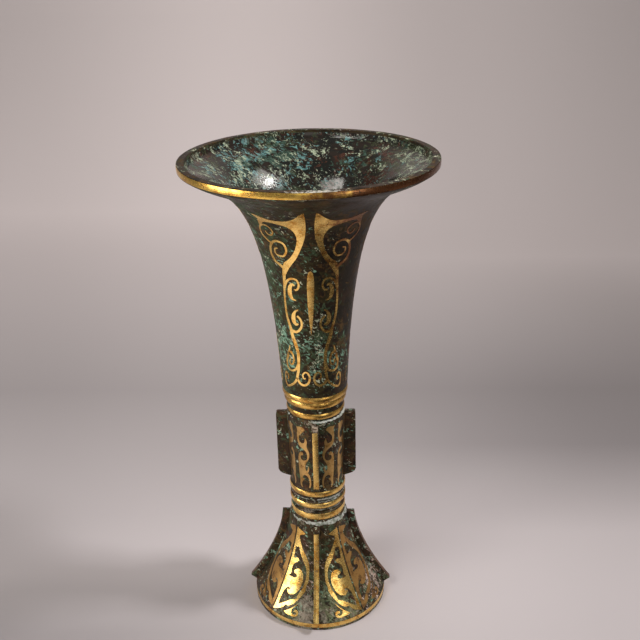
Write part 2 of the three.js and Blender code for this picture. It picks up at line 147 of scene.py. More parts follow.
def _point_at(knots: Sequence[Sequence[float]], times: Sequence[float], t: float) -> tuple[float, ...]:
    """The point at time t of the centripetal line through four knots."""
    level = list(knots)
    for spans in (((0, 1), (1, 2), (2, 3)), ((0, 2), (1, 3)), ((1, 2),)):
        following = []
        for (low, high), before, after in zip(spans, level, level[1:]):
            share = (t - times[low]) / (times[high] - times[low])
            following.append(tuple(a + (b - a) * share for a, b in zip(before, after)))
        level = following
    return level[0]


def holds(outline: Sequence[Pair], place: Sequence[float]) -> bool:
    """Whether a closed outline goes round a place."""
    inside = False
    for (x0, y0), (x1, y1) in zip(outline, [*outline[1:], outline[0]]):
        if (y0 > place[1]) != (y1 > place[1]) and place[0] < x0 + (place[1] - y0) * (x1 - x0) / (y1 - y0):
            inside = not inside
    return inside


# Modelling


def placed(name: str, data: bpy.types.ID) -> Piece:
    """A new object in the scene, with its data."""
    made = bpy.data.objects.new(name, data)
    bpy.context.scene.collection.objects.link(made)
    return made


def deselect() -> None:
    """Nothing is selected, and nothing is being edited."""
    if bpy.context.object and bpy.context.object.mode != "OBJECT":
        bpy.ops.object.mode_set(mode="OBJECT")
    bpy.ops.object.select_all(action="DESELECT")


def pick(piece: Piece) -> None:
    """Makes a piece the only selected one."""
    deselect()
    piece.select_set(True)
    bpy.context.view_layer.objects.active = piece


def edit(piece: Piece) -> None:
    """Starts to edit a piece, with its whole mesh selected."""
    pick(piece)
    bpy.ops.object.mode_set(mode="EDIT")
    bpy.ops.mesh.select_all(action="SELECT")


def close(merge: float = 0.0) -> None:
    """Ends an edit: points closer than a distance are merged, and faces turned outwards."""
    bpy.ops.mesh.select_all(action="SELECT")
    if merge:
        bpy.ops.mesh.remove_doubles(threshold=merge)
    bpy.ops.mesh.normals_make_consistent(inside=False)
    bpy.ops.object.mode_set(mode="OBJECT")


def extrude(x: float, y: float, z: float) -> None:
    """Extrudes what is selected, by a move in metres."""
    bpy.ops.mesh.extrude_region_move(TRANSFORM_OT_translate={"value": (x, y, z)})


def start_point(name: str, place: Pair) -> Piece:
    """A piece of one vertex in the XZ plane, left in edit mode, from which an outline is drawn."""
    deselect()
    bpy.ops.mesh.primitive_plane_add(size=MM)
    piece = bpy.context.object
    piece.name = piece.data.name = name
    bpy.ops.object.mode_set(mode="EDIT")
    bpy.ops.mesh.select_mode(type="VERT")
    bpy.ops.mesh.select_all(action="SELECT")
    bpy.ops.mesh.merge(type="CENTER")
    bpy.ops.transform.translate(value=(place[0] * MM, 0, place[1] * MM))
    return piece


def draw(name: str, outline: Sequence[Pair]) -> Piece:
    """Extrudes one vertex round a closed outline.

    Args:
        name: The piece's name.
        outline: Points in the XZ plane, in millimetres.

    Returns:
        The piece, in edit mode, with its whole outline selected.
    """
    piece = start_point(name, outline[0])
    for (x0, z0), (x1, z1) in zip(outline, [*outline[1:], outline[0]]):
        extrude((x1 - x0) * MM, 0, (z1 - z0) * MM)
    bpy.ops.mesh.select_all(action="SELECT")
    bpy.ops.mesh.remove_doubles(threshold=1e-7)
    return piece


def turned(name: str, outline: Sequence[Pair], steps: int) -> Piece:
    """A closed outline spun about the vase's axis.

    Args:
        name: The piece's name.
        outline: Radius and height of each point, in millimetres.
        steps: How many sides the turned piece has.

    Returns:
        The piece, in object mode.
    """
    piece = draw(name, outline)
    bpy.ops.mesh.spin(steps=steps, angle=math.tau, center=(0, 0, 0), axis=(0, 0, 1))
    close(merge=1e-6)
    return piece


def plate(
    name: str, outline: Sequence[Pair], thickness: float, bevel: float, side: int, turn: float
) -> Piece:
    """A flat plate that stands out from the axis, turned to one of four sides.

    Args:
        name: The piece's name.
        outline: Radius and height of each point, in millimetres.
        thickness: How thick the plate is.
        bevel: Width of its rounded edges.
        side: Quarter turns from the right-hand side.
        turn: Degrees that it stands beside its quarter.

    Returns:
        The plate, in object mode.
    """
    piece = draw(name, outline)
    bpy.ops.mesh.edge_face_add()
    bpy.ops.transform.translate(value=(0, -thickness * MM / 2, 0))
    extrude(0, thickness * MM, 0)
    close()
    modify(piece, "BEVEL", width=bevel * MM, segments=2, limit_method="ANGLE", angle_limit=math.radians(40))
    piece.data.transform(Matrix.Rotation(side * math.tau / 4 + math.radians(turn), 4, "Z"))
    return piece


def modify(piece: Piece, kind: str, **settings: object) -> None:
    """Adds one modifier to a piece and applies it."""
    pick(piece)
    bpy.ops.object.modifier_add(type=kind)
    modifier = piece.modifiers[-1]
    for key, value in settings.items():
        setattr(modifier, key, value)
    bpy.ops.object.modifier_apply(modifier=modifier.name)


def fused(piece: Piece, other: Piece) -> Piece:
    """A piece with another one joined to it as one solid. The other one is used up."""
    modify(piece, "BOOLEAN", operation="UNION", solver="EXACT", object=other)
    bpy.data.objects.remove(other)
    return piece


def soften(piece: Piece, degrees: float = 32) -> None:
    """Shades a piece smooth, but for edges sharper than an angle."""
    pick(piece)
    bpy.ops.object.shade_smooth_by_angle(angle=math.radians(degrees))


def hand_worn(piece: Piece, depth: float) -> None:
    """Gives a casting the slight unevenness of hand work, up to a depth in millimetres."""
    texture = bpy.data.textures.get("hand_work") or bpy.data.textures.new("hand_work", "CLOUDS")
    texture.noise_scale = HAND_WORK_SIZE * MM
    texture.noise_depth = 2
    reach = 2 * depth * MM
    modify(piece, "DISPLACE", texture=texture, texture_coords="GLOBAL", strength=reach, mid_level=0.5)


def hand_over(piece: Piece, slot: Slot, finish: Finish, *nodes: str) -> Piece:
    """Dresses a finished piece, rides it on the vase and puts it in the place of CAD nodes.

    Args:
        piece: The finished piece.
        slot: The record's material slot, which is not used.
        finish: Its material.
        *nodes: The CAD nodes that it stands for.

    Returns:
        The piece.
    """
    piece.data.materials.clear()
    piece.data.materials.append(finish)
    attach(piece, BODY)
    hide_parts(*nodes)
    LOG.info("%s: %d faces, for %s", piece.name, len(piece.data.polygons), ", ".join(nodes))
    return piece


def cast(body: Piece, finish: Finish, node: str) -> Piece:
    """Gives a casting its unevenness and its finish, and puts it in the place of its node."""
    hand_worn(body, CASTING_WORK)
    soften(body)
    return hand_over(body, Slot.BRONZE, finish, node)


# Materials


class Wire:
    """A value inside a material, which takes part in sums written in Python."""

    def __init__(self, bench: "Bench", socket: Socket) -> None:
        """Wraps one output socket of a bench's nodes."""
        self.bench = bench
        self.socket = socket

    def _sum(self, operation: str, *values: object) -> "Wire":
        """A Math node on this wire and others."""
        return self.bench.node("ShaderNodeMath", dict(enumerate(values)), {"operation": operation})

    def __add__(self, other: object) -> "Wire":
        """This plus other."""
        return self._sum("ADD", self, other)

    def __radd__(self, other: object) -> "Wire":
        """Other plus this."""
        return self._sum("ADD", other, self)

    def __sub__(self, other: object) -> "Wire":
        """This minus other."""
        return self._sum("SUBTRACT", self, other)

    def __rsub__(self, other: object) -> "Wire":
        """Other minus this."""
        return self._sum("SUBTRACT", other, self)

    def __mul__(self, other: object) -> "Wire":
        """This times other."""
        return self._sum("MULTIPLY", self, other)

    def __rmul__(self, other: object) -> "Wire":
        """Other times this."""
        return self._sum("MULTIPLY", other, self)

    def __truediv__(self, other: object) -> "Wire":
        """This over other."""
        return self._sum("DIVIDE", self, other)

    def apart(self, other: object) -> "Wire":
        """How far this is from other, without a sign."""
        return self._sum("ABSOLUTE", self - other)

    def most(self, other: object) -> "Wire":
        """The greater of this and other."""
        return self._sum("MAXIMUM", self, other)

    def rise(self, low: float, high: float) -> "Wire":
        """Nought below low and one above high, with a smooth step between; turned round if high is below."""
        flat = {"interpolation_type": "SMOOTHSTEP"}
        if low <= high:
            return self.bench.node("ShaderNodeMapRange", {0: self, 1: low, 2: high, 3: 0.0, 4: 1.0}, flat)
        return self.bench.node("ShaderNodeMapRange", {0: self, 1: high, 2: low, 3: 1.0, 4: 0.0}, flat)


class Bench:
    """The node tree of one material."""

    def __init__(self, name: str) -> None:
        """Starts an empty material with its shader and output."""
        self.material = bpy.data.materials.new(name)
        self.material.use_nodes = True
        self.tree = self.material.node_tree
        self.tree.nodes.clear()
        self.shader = self.tree.nodes.new("ShaderNodeBsdfPrincipled")
        output = self.tree.nodes.new("ShaderNodeOutputMaterial")
        self.tree.links.new(self.shader.outputs[0], output.inputs[0])
        self.place = self.node("ShaderNodeTexCoord", output="Object")

    def node(
        self,
        kind: str,
        sockets: Mapping[object, object] | None = None,
        settings: Mapping[str, object] | None = None,
        output: object = 0,
    ) -> Wire:
        """Adds a node.

        Args:
            kind: The node's type.
            sockets: Value or wire for each input, by name or number.
            settings: The node's own settings, which are made first. Stops are a ramp's places and numbers.
            output: The output that is wanted, by name or number.

        Returns:
            The wanted output.
        """
        made = self.tree.nodes.new(kind)
        for key, value in (settings or {}).items():
            if key == "stops":
                self._ramp(made.color_ramp, value)
            else:
                setattr(made, key, value)
        for key, value in (sockets or {}).items():
            self.feed(made.inputs[key], value)
        return Wire(self, made.outputs[output])

    @staticmethod
    def _ramp(ramp: bpy.types.ColorRamp, stops: Sequence[Pair]) -> None:
        """Sets a ramp's stops, each a place and how pale it is there."""
        ramp.elements[0].position, ramp.elements[1].position = stops[0][0], stops[-1][0]
        for place, _ in stops[1:-1]:
            ramp.elements.new(place)
        for element, (_, pale) in zip(ramp.elements, stops):
            element.color = (pale, pale, pale, 1.0)

    def feed(self, socket: Socket, value: object) -> None:
        """Links a wire to a socket, or sets the socket's own value."""
        if isinstance(value, Wire):
            self.tree.links.new(value.socket, socket)
        elif isinstance(value, tuple) and len(value) == 3 and socket.type == "RGBA":
            socket.default_value = (*value, 1.0)
        else:
            socket.default_value = value

    def noise(
        self, size: float, detail: float = 3.0, rough: float = 0.55, shift: float = 0.0, warp: float = 0.0,
        squash: Triple = (1.0, 1.0, 1.0), tilt: Triple = (0.0, 0.0, 0.0),
    ) -> Wire:
        """Noise about one half.

        Args:
            size: Size of its largest features, in millimetres.
            detail: How many finer layers it has.
            rough: How strong the finer layers are.
            shift: Moves it, so that two noises differ.
            warp: How much it is distorted.
            squash: How much finer it is along each axis.
            tilt: How far its axes are turned, in radians.

        Returns:
            The noise's value.
        """
        place = self.node("ShaderNodeMapping", {"Vector": self.place, "Rotation": tilt})
        moved = {"Vector": place, "Location": (shift, shift, -shift), "Scale": squash}
        place = self.node("ShaderNodeMapping", moved)
        look = {"Scale": 1 / (size * MM), "Detail": detail, "Roughness": rough, "Distortion": warp}
        return self.node("ShaderNodeTexNoise", {"Vector": place, **look})

    def along(self, axis: Axis) -> Wire:
        """The place along one axis, in metres."""
        return self.node("ShaderNodeSeparateXYZ", {0: self.place}, output=axis.value)

    def graph(self, value: Wire, points: Sequence[Pair]) -> Wire:
        """A number that follows a drawn line.

        Args:
            value: What it depends on, between nought and one.
            points: Value and number of each point of the line. A number is at most 2.

        Returns:
            The number.
        """
        stops = [(place, number / 2) for place, number in points]
        return self.node("ShaderNodeValToRGB", {0: value}, {"stops": stops}) * 2.0

    def blend(self, under: object, over: object, mask: object) -> Wire:
        """One colour over another, by a mask."""
        return self.node("ShaderNodeMix", {0: mask, 6: under, 7: over}, {"data_type": "RGBA"}, output=2)

    def bump(self, height: Wire, depth: float) -> None:
        """Gives the surface relief, of a depth in millimetres."""
        normal = self.node("ShaderNodeBump", {"Height": height, "Distance": depth * MM, "Strength": 1.0})
        self.feed(self.shader.inputs["Normal"], normal)

    def set(self, **values: object) -> None:
        """Feeds the shader's sockets, whose names are written with underscores."""
        for key, value in values.items():
            self.feed(self.shader.inputs[key.replace("_", " ")], value)


@dataclass(frozen=True)
class Zone:
    """A stretch of one axis, in millimetres, where something is stronger or weaker than elsewhere."""

    axis: Axis
    middle: float
    reach: float
    amount: float

    def near(self, bench: Bench) -> Wire:
        """The zone's amount, which fades from its middle out."""
        far = bench.along(self.axis).apart(self.middle * MM)
        return far.rise(self.reach * MM, 0.0) * self.amount


@dataclass(frozen=True)
class Growth:
    """One kind of growth in a bronze's skin: small flecks of a colour, gathered in clusters.

    Attributes:
        colour: Its colour.
        size: Size of a fleck, in millimetres.
        cover: How much it covers: nought for about a tenth, 0.1 for a third, 0.2 for most.
        gather: How strongly it gathers.
        cluster: Size of the clusters, in millimetres.
        strength: How fully it hides what is under it.
        thick: How much it stands up.
        soft: How soft its edges are.
        stroke: How much longer its flecks are along a slant.
        zones: Where it is stronger or weaker.
    """

    colour: Colour
    size: float
    cover: float = 0.0
    gather: float = 0.8
    cluster: float = 12.0
    strength: float = 0.9
    thick: float = 0.4
    soft: float = 0.05
    stroke: float = 1.7
    zones: tuple[Zone, ...] = ()

    def mask(self, bench: Bench, number: int) -> Wire:
        """Where it grows, between nought and one.

        Args:
            bench: The material's bench.
            number: Its number among the skin's growths, which moves it beside the others.

        Returns:
            The mask.
        """
        shift = FIRST_SHIFT + NEXT_SHIFT * number
        squash = (1.0, 1.0, 1 / self.stroke)
        flecks = bench.noise(self.size, 2, 0.6, shift=shift, warp=1.3, squash=squash, tilt=FLECK_SLANT)
        amount = flecks + self.cover
        clusters = bench.noise(self.cluster, 3, 0.6, shift=shift + CLUSTER_SHIFT) - 0.5
        amount = amount + clusters * self.gather
        for zone in self.zones:
            amount = amount + zone.near(bench)
        return amount.rise(FLECK_EDGE - self.soft / 2, FLECK_EDGE + self.soft / 2)


@dataclass(frozen=True)
class Patina:
    """Dark bronze under a skin of many small growths, with pale crust on its ledges.

    Attributes:
        name: The material's name.
        ground: The bare metal's colour.
        umber: Its colour where it is browner.
        growths: What grows on it, from the bottom to the top.
        ledges: Heights at which crust has gathered.
        crust: The crust's colour.
        thin_crust: Its colour where it is thin.
        roughness: The bare metal's roughness.
        shine: How much light the bare surface throws back.
        tint: The colour of that light.
        depth: Height of the relief, in millimetres.
        grain: Size of its finest features.
        brown_patch: Size of the browner patches.
        crust_patch: Size of the stretches with and without crust.
    """

    name: str
    ground: Colour = (0.011, 0.010, 0.008)
    umber: Colour = (0.033, 0.018, 0.012)
    growths: tuple[Growth, ...] = ()
    ledges: tuple[Zone, ...] = ()
    crust: Colour = (0.46, 0.46, 0.41)
    thin_crust: Colour = (0.20, 0.22, 0.17)
    roughness: float = 0.38
    shine: float = 0.30
    tint: Colour = (1.0, 0.72, 0.42)
    depth: float = 0.16
    grain: float = 2.2
    brown_patch: float = 9.0
    crust_patch: float = 7.0

    def made(self) -> Finish:
        """The finish as a material."""
        bench = Bench(self.name)
        fine = bench.noise(self.grain, 2, 0.65, shift=1.9, warp=0.6)
        brown = bench.noise(self.brown_patch, 4, 0.65, shift=0.5).rise(0.42, 0.58)
        colour = bench.blend(self.ground, self.umber, brown)
        rough, height = self.roughness + (fine - 0.5) * 0.35, fine * 0.5
        for number, growth in enumerate(self.growths):
            mask = growth.mask(bench, number) * growth.strength
            tone = tuple(c * FLECK_SHADE for c in growth.colour)
            colour = bench.blend(colour, bench.blend(tone, growth.colour, fine.rise(0.40, 0.60)), mask)
            rough, height = rough + mask * 0.14, height + mask * growth.thick
        colour, rough, height = self._crusted(bench, colour, rough, height)
        bench.set(Base_Color=colour, Roughness=rough)
        bench.shader.inputs["Specular IOR Level"].default_value = self.shine
        bench.feed(bench.shader.inputs["Specular Tint"], self.tint)
        bench.bump(height, self.depth)
        return bench.material

    def _crusted(self, bench: Bench, colour: Wire, rough: Wire, height: Wire) -> tuple[Wire, Wire, Wire]:
        """The skin with pale crust on its ledges, thicker on the right.

        Args:
            bench: The material's bench.
            colour: The skin's colour.
            rough: Its roughness.
            height: Its relief.

        Returns:
            Colour, roughness and relief with the crust.
        """
        if not self.ledges:
            return colour, rough, height
        crumble = bench.noise(self.grain, 4, 0.65, shift=3.3)
        drift = (bench.noise(self.crust_patch, 3, 0.6, shift=6.1) - 0.5) * 2.2
        drift = drift + bench.along(Axis.X).rise(-0.020, 0.016) * 0.50 - 0.36
        crust = None
        for ledge in self.ledges:
            crust = crust.most(ledge.near(bench)) if crust else ledge.near(bench)
        mask = (crust + drift * crust.rise(0.0, 0.3) + crumble - 0.5).rise(0.50, 0.62)
        tone = bench.blend(self.thin_crust, self.crust, crumble.rise(0.40, 0.60))
        return bench.blend(colour, tone, mask), rough + mask * 0.4, height + mask * 1.6


@dataclass(frozen=True)
class Gilding:
    """Gold laid in and polished by handling, with amber stains and small dark pits.

    Attributes:
        name: The material's name.
        wear: How much of it is stained and pitted.
        bright: Its colour where it is clean.
        amber: Its colour where it is stained.
        pit: The colour of its pits.
        roughness: How rough it is.
        metal: How metallic it is.
        ribbing: How deep the fine level ribs are, which the turning and rubbing left.
        painted_shade_zones: Where it is painted darker, as shade on the side away from the light.
        dark: The colour of that painted shade.
        stain_size: Size of the stains, in millimetres, as are the next three.
        grain: Size of the grain.
        rib_size: Length of the ribs.
        pit_size: Size of the pits.
    """

    name: str
    wear: float = 0.3
    bright: Colour = (0.95, 0.64, 0.20)
    amber: Colour = (0.66, 0.33, 0.06)
    pit: Colour = (0.035, 0.022, 0.012)
    roughness: float = 0.25
    metal: float = 1.0
    ribbing: float = 0.35
    painted_shade_zones: tuple[Zone, ...] = ()
    dark: Colour = (0.20, 0.085, 0.035)
    stain_size: float = 6.0
    grain: float = 1.3
    rib_size: float = 4.0
    pit_size: float = 1.2

    def made(self) -> Finish:
        """The finish as a material."""
        bench = Bench(self.name)
        stain = bench.noise(self.stain_size, 4, 0.62, shift=0.4)
        grain = bench.noise(self.grain, 3, 0.6, shift=1.2)
        ribs = bench.noise(self.rib_size, 1, 0.5, shift=2.2, squash=(1.0, 1.0, 11.0))
        pits = bench.noise(self.pit_size, 3, 0.7, shift=3.1, warp=0.5) + (stain - 0.5) * 0.5
        pits = pits.rise(0.70 - 0.16 * self.wear, 0.75 - 0.16 * self.wear)
        colour = bench.blend(self.bright, self.amber, (stain + (grain - 0.5) * 0.4).rise(0.44, 0.68))
        # Painted shade: the gold is darkened in the zones, with a stain-shaped edge.
        for zone in self.painted_shade_zones:
            colour = bench.blend(colour, self.dark, (zone.near(bench) + stain - 0.5).rise(0.1, 0.6))
        colour = bench.blend(colour, self.pit, pits * 0.9)
        rough = self.roughness + (grain - 0.5) * 0.3 + pits * 0.25
        bench.set(Base_Color=colour, Roughness=rough, Metallic=self.metal - pits * 0.8 * self.metal)
        bench.bump(grain * 0.12 + ribs * self.ribbing - pits * 0.2, 0.2)
        return bench.material


# Skins


FILM, MALACHITE, TURQUOISE = (0.036, 0.030, 0.013), (0.055, 0.085, 0.045), (0.25, 0.43, 0.30)
PALE, CUPRITE, OCHRE = (0.64, 0.66, 0.46), (0.075, 0.026, 0.014), (0.100, 0.058, 0.022)
MOSS, VERDIGRIS, BLUE_GREEN = (0.045, 0.055, 0.024), (0.045, 0.090, 0.062), (0.14, 0.30, 0.28)
# The last colour on the next line is a painted sheen, for the foot's lit front left.
SAGE, OLIVE, FOOT_PAINTED_SHEEN = (0.46, 0.52, 0.35), (0.17, 0.19, 0.10), (0.36, 0.30, 0.23)
# The first colour on the next line is a painted reflection: a pale patch where the mouth's inside shows a
# lamp's gloss. The second is pale grit on the near rim, with a painted glint.
MOUTH_PAINTED_GLOSS, RIM_GRIT_AND_PAINTED_GLINT = (0.66, 0.60, 0.48), (0.74, 0.68, 0.57)
GRIT, CAP_DUST = (0.56, 0.42, 0.34), (0.40, 0.32, 0.24)
# Towards the left the growths thicken: partly the neck's greener patina, partly painted light on its lit
# side. Towards the right they thin out: painted shade that leaves the dark bare metal showing.
LEFT_GREENER_AND_LIT, RIGHT_PAINTED_SHADE = Zone(Axis.X, -34, 40, 0.10), Zone(Axis.X, 27, 22, -0.14)
LOW_NECK, UPPER_NECK = Zone(Axis.Z, 186, 30, 0.08), Zone(Axis.Z, 262, 40, 0.06)
NECK_SKIN = (
    Growth(OCHRE, 5.0, 0.0, 0.8, 16, 0.8, 0.2, zones=(LEFT_GREENER_AND_LIT, UPPER_NECK)),
    Growth(FILM, 5.0, 0.06, 0.9, 14, 0.9, 0.2, zones=(LEFT_GREENER_AND_LIT, RIGHT_PAINTED_SHADE)),
    Growth(MALACHITE, 3.2, 0.0, 0.8, 12, zones=(LEFT_GREENER_AND_LIT, RIGHT_PAINTED_SHADE, Zone(Axis.Z, 188, 26, 0.09))),
    # The turquoise has a weaker left zone, which is likewise partly patina and partly painted light.
    Growth(TURQUOISE, 2.0, -0.095, 0.9, 10, 0.85, zones=(
        Zone(Axis.X, -34, 36, 0.06), RIGHT_PAINTED_SHADE, Zone(Axis.Z, 184, 36, 0.14), Zone(Axis.Z, 290, 50, -0.05),
    )),
    Growth(PALE, 2.0, -0.11, 0.9, 9, 0.8, zones=(RIGHT_PAINTED_SHADE, LOW_NECK)),
)
MOUTH_SKIN = (
    Growth(CUPRITE, 4.6, -0.01, 1.0, 18, 0.85, 0.2, zones=(
        Zone(Axis.X, 60, 50, 0.12), Zone(Axis.X, -75, 25, 0.16),
    )),
    Growth(MOSS, 3.4, 0.03, 0.9, 12, zones=(Zone(Axis.X, 62, 40, 0.12), Zone(Axis.X, 8, 16, -0.08))),
    Growth(VERDIGRIS, 2.8, -0.01, 1.0, 12, zones=(Zone(Axis.X, -28, 36, 0.08), Zone(Axis.X, 8, 16, -0.10))),
    Growth(BLUE_GREEN, 2.4, -0.06, 1.0, 12, zones=(Zone(Axis.X, -36, 44, 0.07), Zone(Axis.X, 50, 40, -0.05))),
    Growth(SAGE, 1.8, -0.03, 0.9, 10, 0.9, zones=(Zone(Axis.X, 66, 26, 0.06), Zone(Axis.X, -58, 24, 0.05))),
    # Painted reflection: a pale patch on the mouth's near inside, where a lamp's gloss shows.
    Growth(MOUTH_PAINTED_GLOSS, 2.0, -0.37, 0.4, 8, 0.85, zones=(Zone(Axis.Y, -52, 20, 0.42), Zone(Axis.X, 11, 24, 0.26))),
)
EDGE_SKIN = (
    Growth(OCHRE, 4.0, 0.03, 0.8, 12, 0.8, 0.2),
    Growth(MALACHITE, 2.6, 0.0, 0.9, 9),
    Growth(PALE, 1.8, -0.06, 0.8, 8, 0.8),
    # Pale grit on the near rim, with a painted glint where the mouth's gloss reaches it.
    Growth(RIM_GRIT_AND_PAINTED_GLINT, 2.0, -0.30, 0.5, 6, 0.9, zones=(
        Zone(Axis.Y, -76, 12, 0.34), Zone(Axis.X, 10, 30, 0.26),
    )),
)
MIDDLE_SKIN = (
    Growth(OCHRE, 4.4, 0.06, 0.7, 10, 0.8, 0.2),
    Growth(CUPRITE, 5.0, 0.02, 0.9, 10, 0.8, 0.2),
    Growth(FILM, 4.6, 0.02, 0.9, 10, 0.9, 0.2),
    Growth(MALACHITE, 3.4, -0.02, 0.9, 9),
    Growth(TURQUOISE, 2.6, -0.08, 0.9, 9),
    Growth(PALE, 1.8, -0.08, 0.8, 8, 0.8),
    Growth(CAP_DUST, 2.0, -0.28, 0.5, 6, 0.9, zones=(
        Zone(Axis.Z, 138, 3, 0.24), Zone(Axis.Y, -22, 8, 0.16), Zone(Axis.X, 1, 8, 0.08),
    )),
)
FOOT_SKIN = (
    Growth(OCHRE, 4.8, 0.05, 0.8, 12, 0.8, 0.2),
    Growth(CUPRITE, 5.5, 0.02, 1.0, 12, 0.8, 0.2),
    Growth(FILM, 5.0, 0.05, 0.9, 12, 0.9, 0.2),
    Growth(MALACHITE, 3.6, 0.0, 1.0, 11),
    Growth(TURQUOISE, 2.8, -0.08, 1.0, 10),
    Growth(PALE, 2.0, -0.07, 0.8, 9, 0.8),
    Growth(OLIVE, 2.6, -0.18, 0.7, 10, 0.8, 0.2, 0.12, zones=(
        Zone(Axis.X, 12, 16, 0.13), Zone(Axis.Y, -36, 20, 0.14), Zone(Axis.Z, 14, 24, 0.12),
    )),
    # Painted sheen: pale grey-brown low on the foot's front left, where the bronze catches the light.
    Growth(FOOT_PAINTED_SHEEN, 2.6, -0.20, 0.5, 8, 0.75, 0.2, 0.26, zones=(
        Zone(Axis.X, -8, 8, 0.22), Zone(Axis.Y, -40, 16, 0.14), Zone(Axis.Z, 8, 16, 0.12),
    )),
    Growth(GRIT, 2.0, -0.23, 0.8, 8, 0.9, zones=(
        Zone(Axis.X, 36, 12, 0.20), Zone(Axis.Y, -22, 18, 0.10), Zone(Axis.Z, 20, 22, 0.10),
    )),
)


# Inlays


@dataclass(frozen=True)
class Wall:
    """A turned wall that scrolls are laid in: its radius and height line, from bottom to top."""

    line: tuple[Pair, ...]

    def radius(self, height: float) -> float:
        """The wall's radius at a height, both in millimetres."""
        for (r0, z0), (r1, z1) in zip(self.line, self.line[1:]):
            if height <= z1:
                return r0 + (r1 - r0) * (height - z0) / (z1 - z0)
        return self.line[-1][0]

    def lean(self, height: float) -> float:
        """How much the radius grows over a millimetre of height."""
        return (self.radius(height + LEAN_SPAN) - self.radius(height - LEAN_SPAN)) / (2 * LEAN_SPAN)

    def place(self, angle: float, height: float, proud: float) -> Vector:
        """A point near the wall.

        Args:
            angle: Degrees round the axis from the front, to the right.
            height: Height in millimetres.
            proud: How far it stands off the wall, in millimetres.

        Returns:
            The point, in metres.
        """
        lean = self.lean(height)
        length = math.hypot(1, lean)
        radius = self.radius(height) + proud / length
        turn = math.radians(angle)
        up = height - proud * lean / length
        return Vector((radius * math.sin(turn), -radius * math.cos(turn), up)) * MM

    def ribbon(self, points: Sequence[LinePoint], step: float) -> list[Pair]:
        """The outline of a ribbon that keeps its width on the wall.

        Args:
            points: Angle, height and width of the ribbon's middle line.
            step: About how far apart the outline's points are.

        Returns:
            Angle and height of each point of the outline.
        """
        line = spline(points, step)
        left, right = [], []
        for i, (angle, height, width) in enumerate(line):
            before, after = line[max(i - 1, 0)], line[min(i + 1, len(line) - 1)]
            degree = self.radius(height) * math.pi / 180
            slope = math.hypot(1, self.lean(height))
            across, up = (after[0] - before[0]) * degree, (after[1] - before[1]) * slope
            half = width / 2 / math.hypot(across, up)
            left.append((angle - up * half / degree, height + across * half / slope))
            right.append((angle + up * half / degree, height - across * half / slope))
        return [*left, *reversed(right)]


@dataclass(frozen=True)
class Motif:
    """One scroll, drawn on a sheet of degrees across and millimetres up.

    Attributes:
        shapes: Closed outlines, each of smooth strokes, of which every one starts in a corner, at the
            end of the one before it.
        ribbons: Middle lines of angle, height and width.
        worn: Numbers of the shapes, then ribbons, that are more worn than the rest.
    """

    shapes: tuple[tuple[Stroke, ...], ...] = ()
    ribbons: tuple[Sequence[LinePoint], ...] = ()
    worn: tuple[int, ...] = ()

    def outlines(self, wall: Wall, step: float) -> list[list[Pair]]:
        """Every closed outline of the motif on a wall."""
        made = []
        for shape in self.shapes:
            starts = (shape[-1][-1], *(stroke[-1] for stroke in shape))
            strokes = [spline([start, *stroke], step)[:-1] for start, stroke in zip(starts, shape)]
            made.append([point for stroke in strokes for point in stroke])
        return made + [wall.ribbon(points, step) for points in self.ribbons]


WHOLE, HALVES = (("", 1),), (("_right", 1), ("_left", -1))
FOOT_CELL = (3.0, 2.5)


